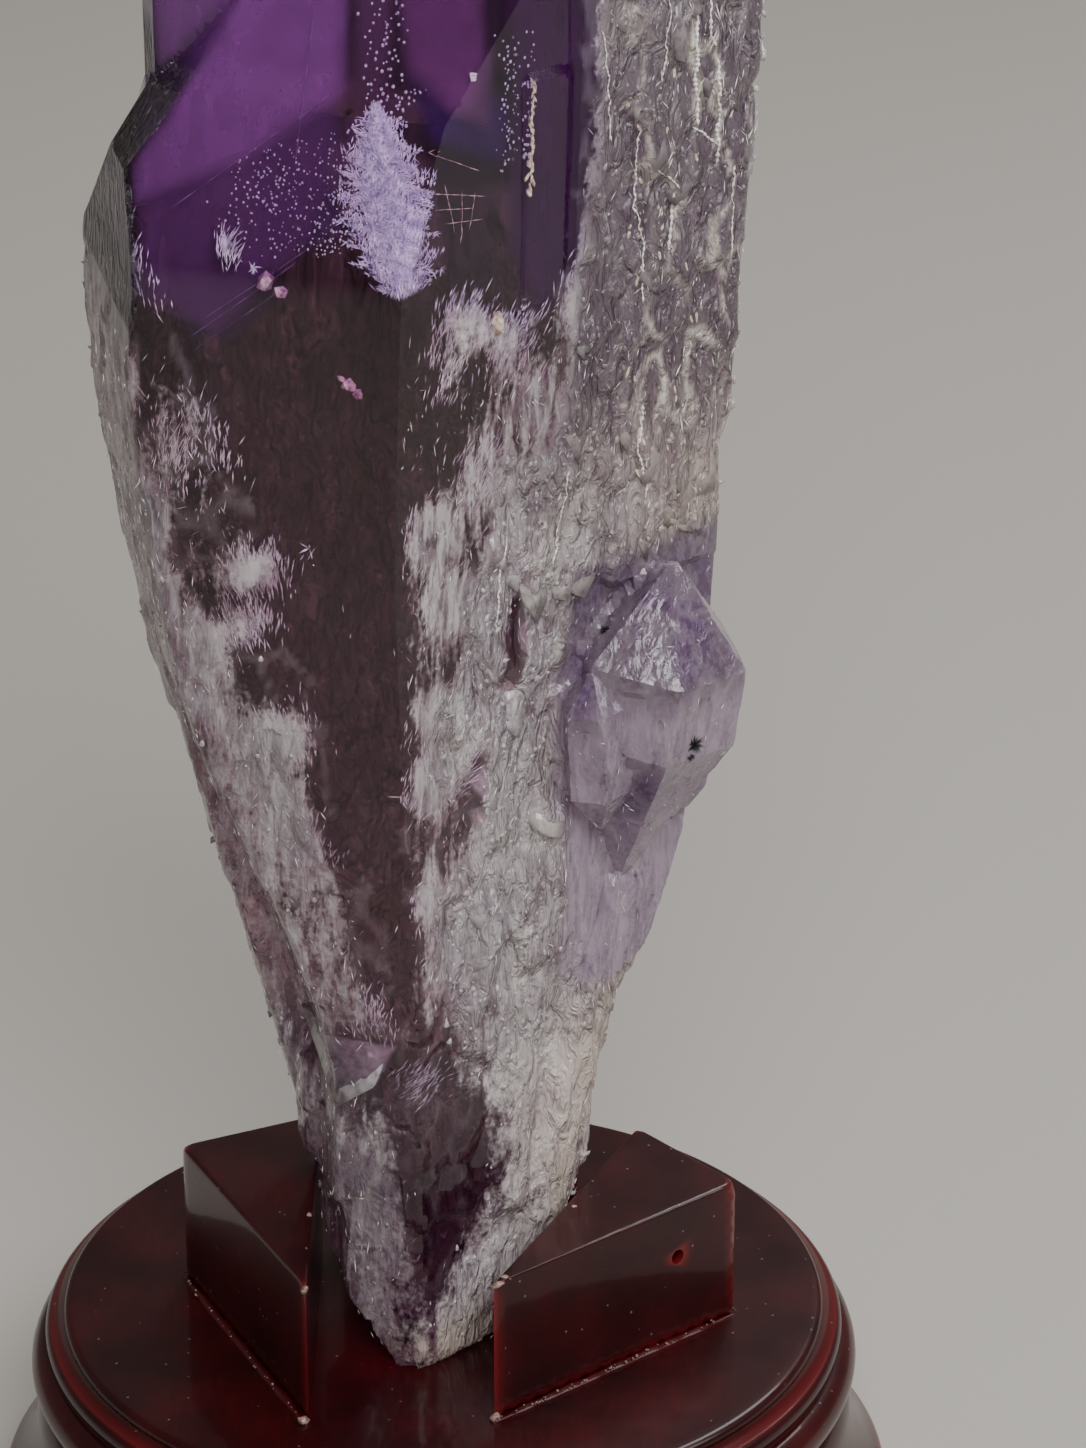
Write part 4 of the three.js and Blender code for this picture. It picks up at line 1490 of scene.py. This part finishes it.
def red_lacquer(colours):
    """Clear-topped red lacquer brushed on turned hardwood.

    The eye gets a nearly black red in the broad faces, a brighter red where the film thins
    over an edge, a little grain below it, and a wet top with dust and tiny bubbles.
    """
    material, tree, output = new_material(LACQUER)
    coords = add_node(tree, "TexCoord").outputs["Object"]
    thin = add_node(tree, "Attribute", attribute_name="thin").outputs["Fac"]
    # The wood's pores are about 0.3 mm wide and some 8 mm long; they are drawn 1.1 mm wide to
    # show. The film is thicker in patches of 24 mm, and ripples every 7 mm.
    long_way = add_node(tree, "Mapping", {"Vector": coords, "Scale": (1, 0.09, 1)}).outputs["Vector"]
    grain = {"Vector": long_way, "Scale": 1 / (1.1 * MM), "Detail": 5, "Roughness": 0.6}
    grain = add_node(tree, "TexNoise", grain).outputs["Fac"]
    cloudy = {"Vector": coords, "Scale": 1 / (24 * MM), "Detail": 3, "Roughness": 0.55}
    cloudy = add_node(tree, "TexNoise", cloudy).outputs["Fac"]
    patch = add_node(tree, "MapRange", {"Value": cloudy, "From Min": 0.35, "From Max": 0.7}).outputs[0]
    # Dust and bubbles in the film are some 0.3 mm across; they are drawn at 0.5 mm to show.
    dots = add_node(tree, "TexVoronoi", {"Vector": coords, "Scale": 1 / (4.2 * MM)})
    dot = {"Value": dots.outputs["Distance"], "From Min": 0.075, "From Max": 0.03}
    dot = add_node(tree, "MapRange", dot).outputs[0]
    # Each row blends what is laid so far, marked None, with one more colour.
    body = colours.lacquer
    for share, first, second in (
        (grain, colours.lacquer_dark, None),
        (patch, colours.lacquer_dark, None),
        (thin, None, colours.lacquer_edge),
        (dot, None, colours.dust),
    ):
        first, second = [body if side is None else side for side in (first, second)]
        body = add_node(tree, "Mix", {0: share, 6: first, 7: second}, data_type="RGBA").outputs[2]
    ripple = {"Vector": coords, "Scale": 1 / (7 * MM), "Detail": 2, "Roughness": 0.5}
    ripple = add_node(tree, "TexNoise", ripple).outputs["Fac"]
    height = {0: dot, 1: 0.25, 2: ripple}
    height = add_node(tree, "Math", height, operation="MULTIPLY_ADD").outputs[0]
    bump = {"Strength": 0.35, "Distance": 0.12 * MM, "Height": height}
    bump = add_node(tree, "Bump", bump).outputs["Normal"]
    rough = add_node(tree, "MapRange", {"Value": cloudy, "To Min": 0.25, "To Max": 0.45}).outputs[0]
    film = {"Base Color": body, "Roughness": rough, "IOR": 1.5, "Specular IOR Level": 0.2}
    film |= {"Coat Weight": 0.42, "Coat Roughness": 0.08, "Coat IOR": 1.45}
    film |= {"Normal": bump, "Coat Normal": bump}
    film = add_node(tree, "BsdfPrincipled", film)
    tree.links.new(film.outputs[0], output.inputs["Surface"])
    return material


def pale_floor(colour):
    """Matt painted board, slightly uneven, so that it reads as a real surface."""
    material, tree, output = new_material("matt_painted_board")
    coords = add_node(tree, "TexCoord").outputs["Object"]
    tooth = {"Vector": coords, "Scale": 1 / (3 * MM), "Detail": 3}
    tooth = add_node(tree, "TexNoise", tooth).outputs["Fac"]
    bump = {"Strength": 0.05, "Distance": 0.1 * MM, "Height": tooth}
    bump = add_node(tree, "Bump", bump).outputs["Normal"]
    paint = add_node(tree, "BsdfPrincipled", {"Base Color": colour, "Roughness": 0.85, "Normal": bump})
    tree.links.new(paint.outputs[0], output.inputs["Surface"])
    return material


# ---------- what a user may change ----------


def colour_setting(name, code, description):
    """A colour property with this sRGB hex as its default."""
    return bpy.props.FloatVectorProperty(
        name=name,
        description=description,
        default=linear(code),
        size=4,
        min=0,
        max=1,
        subtype="COLOR",
    )


def length_setting(name, millimetres, description):
    """A length property with this default."""
    return bpy.props.FloatProperty(
        name=name, description=description, default=millimetres * MM, min=0, unit="LENGTH"
    )


class CrystalSettings(bpy.types.PropertyGroup):
    """The crystal's fineness and colours."""

    voxel: length_setting("Mesh Step", 1.25, "Size of the faces of the crystal's mesh")
    smoky: colour_setting("Smoky", "#F2DCE4", "Tint of the clear body")
    smoky_deep: colour_setting("Smoky Deep", "#BC98A6", "Deeper patches in the clear body")
    violet: colour_setting("Violet", "#E3CBF3", "Tint of the point's near faces")
    violet_far: colour_setting("Violet Far", "#A163D6", "Tint of the point's far faces")
    lavender: colour_setting("Lavender", "#D3C3DC", "Tint of the small crystal on the right")
    milk_grey: colour_setting("Milk Grey", "#C9BFC4", "Grey cloud")
    milk_white: colour_setting("Milk White", "#F6F0EE", "White cloud")
    milk_warm: colour_setting("Milk Warm", "#E2D1C3", "Beige cloud")
    milk_lavender: colour_setting("Milk Lavender", "#C3B0C4", "Cloud in the small crystal")
    # Also the colour of the painted shade on the cloud and on the crust's grains.
    milk_dark: colour_setting("Milk Dark", "#54434E", "Gaps between the cloud's fibres")
    lamp_clear: colour_setting("Lamp Clear", "#CDB4CF", "Lamp light let in by clear faces")
    lamp_milk: colour_setting("Lamp Milk", "#6C6068", "Lamp light let in by milky faces")
    depth: colour_setting("Depth Colour", "#B36C9B", "What is left of light that goes deep")
    depth_density: bpy.props.FloatProperty(
        name="Depth Density", description="Share taken from the light per metre", default=27, min=0
    )
    # Painted shade: the dark given to the clear colour of the left shoulder and of the root.
    clear_shade: colour_setting("Dusk", "#41374C", "Tint of the dark left shoulder")
    # Part of this stain follows the shade mask: it deepens the painted shade to violet.
    stain_and_shade: colour_setting("Stain", "#5E4367", "Violet stain in the cloud")
    milk_bright: colour_setting("Milk Bright", "#EDE3D8", "Cream threads in the crust's seams")
    veil_dark: colour_setting("Veil Dark", "#A5A1A9", "Dull side of the white veils")
    veil_light: colour_setting("Veil Light", "#F2F0F4", "Bright side of the white veils")
    # The threads' colours also paint the glints in the crust's seams.
    thread_dark: colour_setting("Thread Dark", "#D2C6BE", "Dull side of the bright threads")
    thread_light: colour_setting("Thread Light", "#FFFBF5", "Bright side of the bright threads")
    line_dark: colour_setting("Line Dark", "#4F3160", "Dull part of the growth lines")
    line_light: colour_setting("Line Light", "#8F6E9C", "Bright part of the growth lines")
    snow_dark: colour_setting("Snow Dark", "#AFA9C4", "Shaded snow")
    snow_light: colour_setting("Snow Light", "#F3F2FC", "Bright snow")
    bubble_dark: colour_setting("Bubble Dark", "#8F84A0", "Far side of a bubble")
    bubble_light: colour_setting("Bubble Light", "#F6F3FA", "Lit side of a bubble")
    grain_dark: colour_setting("Grain Dark", "#A08670", "Dark part of the beige grains")
    grain_light: colour_setting("Grain Light", "#E6D8C6", "Light part of the beige grains")
    pink_dark: colour_setting("Pink Dark", "#7E4E74", "Dark part of the pink chips")
    pink_light: colour_setting("Pink Light", "#D6A9C2", "Light part of the pink chips")
    oxide_dark: colour_setting("Oxide Dark", "#050606", "Black specks")
    oxide_light: colour_setting("Oxide Light", "#141716", "Lit side of the black specks")


class StandSettings(bpy.types.PropertyGroup):
    """The stand's fineness and colours."""

    cut: length_setting("Block Cut", 2.4, "Longest edge of the blocks' mesh")
    lacquer: colour_setting("Lacquer", "#49070D", "Red lacquer")
    lacquer_dark: colour_setting("Lacquer Dark", "#210204", "Lacquer over dark grain")
    lacquer_edge: colour_setting("Lacquer Edge", "#6E171B", "Thin lacquer over an edge")
    dust: colour_setting("Dust", "#6E5A58", "Dust and bubbles in the film")
    film_bubble_dark: colour_setting("Bubble Dark", "#3A1A1B", "Far side of a film bubble")
    film_bubble_light: colour_setting("Bubble Light", "#86706C", "Lit side of a film bubble")
    glue_dark: colour_setting("Glue Dark", "#5E3F38", "Thick part of a dried drop")
    glue_light: colour_setting("Glue Light", "#B39B8E", "Thin part of a dried drop")


class StageSettings(bpy.types.PropertyGroup):
    """The floor's paint and the light from all round."""

    floor: colour_setting("Floor", "#AFABA5", "The floor's paint")
    air: colour_setting("Air", "#6E6A67", "Light from all round")
    air_strength: bpy.props.FloatProperty(
        name="Air Strength", description="Strength of the light from all round", default=1, min=0
    )


# ---------- the work ----------


class AMETHYST_OT_grow_crystal(bpy.types.Operator):
    """Grow the amethyst point, its faces, crust and small crystals"""

    bl_idname = "amethyst.grow_crystal"
    bl_label = "Grow Crystal"

    def execute(self, context):
        settings = context.scene.amethyst_crystal
        mesh = grow_crystal_mesh(settings.voxel)
        crystal = add_piece(CRYSTAL, mesh, gem_quartz(settings))
        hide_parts("amethyst_crystal")
        return {"FINISHED"}


class AMETHYST_OT_grow_druse(bpy.types.Operator):
    """Grow the small quartz points and scales on the crust"""

    bl_idname = "amethyst.grow_druse"
    bl_label = "Grow Crust Points"

    def execute(self, context):
        rng = np.random.default_rng(SEEDS["crust"])
        stone = druse_quartz(context.scene.amethyst_crystal)
        skin = crystal_piece().data
        for name, points, faces, owners in (
            ("crust_points", *crust_grains(rng)),
            ("crust_scales", *crust_scales(rng, skin_tree())),
        ):
            piece = make_piece(name, points, faces, stone, GEM_SLOT)
            for attribute in ("warm", "shade"):
                store(piece.data, attribute, stored(skin, attribute)[owners])
        return {"FINISHED"}


class AMETHYST_OT_seal_zones(bpy.types.Operator):
    """Seal the violet growth zones in the point, sheets with painted light in them"""

    bl_idname = "amethyst.seal_zones"
    bl_label = "Seal Growth Zones"

    def execute(self, context):
        skin = skin_tree()
        parts, fades, tints = [], [], []
        for outline, depth, side, strength, code in GROWTH_ZONES_AND_PAINTED_LIGHT:
            points, faces = thin_lens(skin, outline, depth, side)
            parts.append((points, faces))
            fades.append(strength * outline_fade(points, outline))
            tints.append(np.tile(linear(code), (len(points), 1)))
        zones = make_piece("violet_growth_zones", *joined(parts), growth_zone_painted_light(), GEM_SLOT)
        store(zones.data, "fade", np.concatenate(fades))
        tint = zones.data.attributes.new("tint", "FLOAT_COLOR", "POINT")
        tint.data.foreach_set("color", np.concatenate(tints).astype(np.float32).ravel())
        return {"FINISHED"}


class AMETHYST_OT_seal_veils(bpy.types.Operator):
    """Seal the white feathers, flecks and threads under the crystal's skin, and the painted glints in
    the crust's seams
    """

    bl_idname = "amethyst.seal_veils"
    bl_label = "Seal White Veils"

    def execute(self, context):
        rng = np.random.default_rng(SEEDS["veils"])
        skin = skin_tree()
        in_milk, painted_glint_chance = fleck_chances()
        veils = [cloud_strokes(skin, rng, patch) for patch in CLOUDS]
        veils.append(skin_strokes(rng, in_milk, *MILK_FLECKS))
        # Painted glints: white strokes in the crust's seams that stand in for highlights, drawn with
        # the threads.
        threads = [skin_strokes(rng, painted_glint_chance, *PAINTED_SEAM_GLINTS)]
        threads += [run_line(skin, rng, row, -0.15, 0.9, 0.22) for row in THREADS]
        lines = [run_line(skin, rng, row, 1.5, 4, 0) for row in GROWTH_LINES]
        for name, parts, mineral in (
            ("white_veils", veils, "veil"),
            ("bright_threads", threads, "thread"),
            ("growth_lines", lines, "line"),
        ):
            stone = sealed_mineral(context.scene.amethyst_crystal, mineral)
            make_piece(name, *joined(parts), stone, GEM_SLOT, smooth=False)
        return {"FINISHED"}


class AMETHYST_OT_seal_plume(bpy.types.Operator):
    """Seal the snowy plume and the strings of bubbles in the point"""

    bl_idname = "amethyst.seal_plume"
    bl_label = "Seal Plume and Bubbles"

    def execute(self, context):
        settings = context.scene.amethyst_crystal
        rng = np.random.default_rng(SEEDS["plume"])
        skin = skin_tree()
        snow = sealed_mineral(settings, "snow")
        make_piece("snowy_plume", *plume_needles(skin, rng), snow, GEM_SLOT, smooth=False)
        pearl = sealed_mineral(settings, "bubble")
        make_piece("bubble_strings", *bubble_strings(skin, rng), pearl, GEM_SLOT)
        return {"FINISHED"}


class AMETHYST_OT_seal_grains(bpy.types.Operator):
    """Seal the beige grains, the white star bursts with a painted spark, pink chips and black specks
    """

    bl_idname = "amethyst.seal_grains"
    bl_label = "Seal Grains and Specks"

    def execute(self, context):
        settings = context.scene.amethyst_crystal
        rng = np.random.default_rng(SEEDS["grains"])
        skin = skin_tree()

        def at(x, z, depth):
            return tuple(beneath(skin, [x], [z], [depth])[0][0])

        grains = [chip(rng, at(*place), reach) for *place, reach in CLAY_GRAINS]
        x0, z0, run_x, run_z, count = CLAY_THREAD
        for share in np.linspace(0, 1, count):
            width = rng.uniform(0.1, 0.22) + 0.35 * share * rng.uniform(0.2, 1.2)
            x = x0 + run_x * share + rng.normal(0, 0.15 + 0.2 * share)
            grains.append(chip(rng, at(x, z0 + run_z * share, 0.1), (width, 0.3, 0.8), 1))
        grains += [run_line(skin, rng, row, 2.2, 1.2, 0.1) for row in BROWN_NET]
        count, range_x, range_z = CLAY_STRAYS
        for _ in range(count):
            place = at(rng.uniform(*range_x), rng.uniform(*range_z), 0.1)
            grains.append(chip(rng, place, (0.4, 0.3, rng.uniform(0.5, 1.6)), 1))
        stars_and_spark = [burst(rng, at(*row[:3]), *row[3:]) for row in WHITE_STARS_AND_PAINTED_SPARK]
        chips = []
        for x, z, size in PINK_CHIPS:
            chips.append(chip(rng, at(x, z, 1.4), (size, size * 0.7, size * 0.8), 1))
        specks = []
        for x, z, count, reach in BLACK_SPECKS:
            specks.append(burst(rng, at(x, z, 0.1), count, 0.3 * reach, reach, 0.28))

        for name, parts, stone in (
            ("beige_grains", grains, sealed_mineral(settings, "grain")),
            ("white_stars", stars_and_spark, bpy.data.materials[MINERALS["snow"][0]]),
            ("pink_chips", chips, sealed_mineral(settings, "pink")),
            ("black_specks", specks, sealed_mineral(settings, "oxide")),
        ):
            make_piece(name, *joined(parts), stone, GEM_SLOT, smooth=False)
        return {"FINISHED"}


class AMETHYST_OT_turn_stand(bpy.types.Operator):
    """Turn the lacquered base and set the blocks on it"""

    bl_idname = "amethyst.turn_stand"
    bl_label = "Turn Stand"

    def execute(self, context):
        settings = context.scene.amethyst_stand
        lacquer = red_lacquer(settings)
        for node_name, piece_name in (
            ("turned_base", "lacquered_base"),
            ("left_block", "lacquered_left_block"),
            ("right_block", "lacquered_right_block"),
            ("rear_block", "lacquered_rear_block"),
        ):
            if node_name == "turned_base":
                mesh = turned_mesh(base_profile())
            else:
                mesh = fine_copy(node_name, settings.cut)
                round_over(mesh)
                mark_crisp_edges(mesh, np.ones(len(mesh.vertices)))
            mark_thin_lacquer(mesh)
            mesh.polygons.foreach_set("use_smooth", [True] * len(mesh.polygons))
            piece = add_piece(piece_name, mesh, lacquer)
            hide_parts(node_name)
        return {"FINISHED"}


class AMETHYST_OT_run_lacquer(bpy.types.Operator):
    """Run the lacquer's beads, bubbles and drops round the blocks"""

    bl_idname = "amethyst.run_lacquer"
    bl_label = "Run Lacquer Beads"

    def execute(self, context):
        settings = context.scene.amethyst_stand
        lacquer = bpy.data.materials[LACQUER]
        runs = []
        for block, first, second, radius, start in BEADS:
            ends = on_block(block, *first), on_block(block, *second)
            runs.append(poured_bead(*ends, radius, start))
        beads = make_piece("lacquer_beads", *joined(runs), lacquer, WOOD_SLOT)
        store(beads.data, "thin", np.full(len(beads.data.vertices), BEAD_THINNESS))

        rng = np.random.default_rng(SEEDS["bubbles"])
        centres = []
        for _ in range(RIGHT_BUBBLES):
            along = rng.uniform(6, LONG_LEG - 2)
            height = rng.uniform(0.5, 1)
            centres.append(on_block(RIGHT_BLOCK, -0.5 - rng.uniform(0, 1), along, height))
        for _ in range(LEFT_BUBBLES):
            along = rng.uniform(4, LONG_LEG)
            centres.append(on_block(LEFT_BLOCK, along, -0.6 - rng.uniform(0, 0.9), 0.6))
        radii = rng.uniform(0.14, 0.34, len(centres)) * MM
        pearl = sealed_mineral(settings, "film_bubble")
        make_piece("lacquer_bubbles", *balls(np.array(centres), radii), pearl, WOOD_SLOT)

        drops = [chip(rng, on_block(*place), reach) for *place, reach in DROPS]
        make_piece("glue_drops", *joined(drops), sealed_mineral(settings, "glue"), WOOD_SLOT)
        return {"FINISHED"}


class AMETHYST_OT_set_stage(bpy.types.Operator):
    """Set the floor, the lamps and the camera"""

    bl_idname = "amethyst.set_stage"
    bl_label = "Set Stage"

    def execute(self, context):
        scene = context.scene
        settings = scene.amethyst_stage
        bpy.ops.mesh.primitive_circle_add(vertices=96, radius=FLOOR_RADIUS, fill_type="NGON")
        floor = context.object
        floor.name = "floor"
        floor.data.materials.append(pale_floor(settings.floor))
        floor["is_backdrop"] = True
        world = bpy.data.worlds.new("studio_air")
        world.use_nodes = True
        background = world.node_tree.nodes["Background"]
        background.inputs["Color"].default_value = settings.air
        background.inputs["Strength"].default_value = settings.air_strength
        scene.world = world
        for name, place, size, power in LAMPS:
            lamp = bpy.data.lights.new(name, "AREA")
            lamp.shape = "SQUARE"
            lamp.size = size
            lamp.energy = power
            holder = bpy.data.objects.new(name, lamp)
            holder.location = place
            aim = Vector(LAMP_AIM) - holder.location
            holder.rotation_euler = aim.to_track_quat("-Z", "Y").to_euler()
            scene.collection.objects.link(holder)
        lens = bpy.data.cameras.new("camera")
        lens.lens = CAMERA_LENS
        lens.sensor_width = CAMERA_SENSOR
        camera = bpy.data.objects.new("camera", lens)
        camera.location = CAMERA_PLACE
        camera.rotation_euler = (math.radians(CAMERA_TILT), 0, 0)
        scene.collection.objects.link(camera)
        scene.camera = camera
        return {"FINISHED"}


class AMETHYST_PT_point(bpy.types.Panel):
    """Lists the steps that make the amethyst point"""

    bl_label = "Amethyst Point"
    bl_idname = "AMETHYST_PT_point"
    bl_space_type = "VIEW_3D"
    bl_region_type = "UI"
    bl_category = "Amethyst"

    def draw(self, context):
        for step in STEPS:
            self.layout.operator(step)
        for group in GROUPS:
            for name in getattr(context.scene, group).bl_rna.properties.keys():
                if name not in ("rna_type", "name"):
                    self.layout.prop(getattr(context.scene, group), name)


STEPS = (
    "amethyst.set_stage",
    "amethyst.turn_stand",
    "amethyst.run_lacquer",
    "amethyst.grow_crystal",
    "amethyst.grow_druse",
    "amethyst.seal_zones",
    "amethyst.seal_veils",
    "amethyst.seal_plume",
    "amethyst.seal_grains",
)
GROUPS = {
    "amethyst_crystal": CrystalSettings,
    "amethyst_stand": StandSettings,
    "amethyst_stage": StageSettings,
}
CLASSES = (
    CrystalSettings,
    StandSettings,
    StageSettings,
    AMETHYST_OT_set_stage,
    AMETHYST_OT_turn_stand,
    AMETHYST_OT_run_lacquer,
    AMETHYST_OT_grow_crystal,
    AMETHYST_OT_grow_druse,
    AMETHYST_OT_seal_zones,
    AMETHYST_OT_seal_veils,
    AMETHYST_OT_seal_plume,
    AMETHYST_OT_seal_grains,
    AMETHYST_PT_point,
)


def register():
    for cls in CLASSES:
        bpy.utils.register_class(cls)
    for name, group in GROUPS.items():
        setattr(bpy.types.Scene, name, bpy.props.PointerProperty(type=group))


def unregister():
    for name in GROUPS:
        delattr(bpy.types.Scene, name)
    for cls in reversed(CLASSES):
        bpy.utils.unregister_class(cls)


def main():
    register()
    for step in STEPS:
        family, name = step.split(".")
        getattr(getattr(bpy.ops, family), name)()
    sizes = {"cad": CAD_BOX, "visual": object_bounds()}
    sizes = {key: [list(corner) for corner in box] for key, box in sizes.items()}


if __name__ == "__main__":
    main()
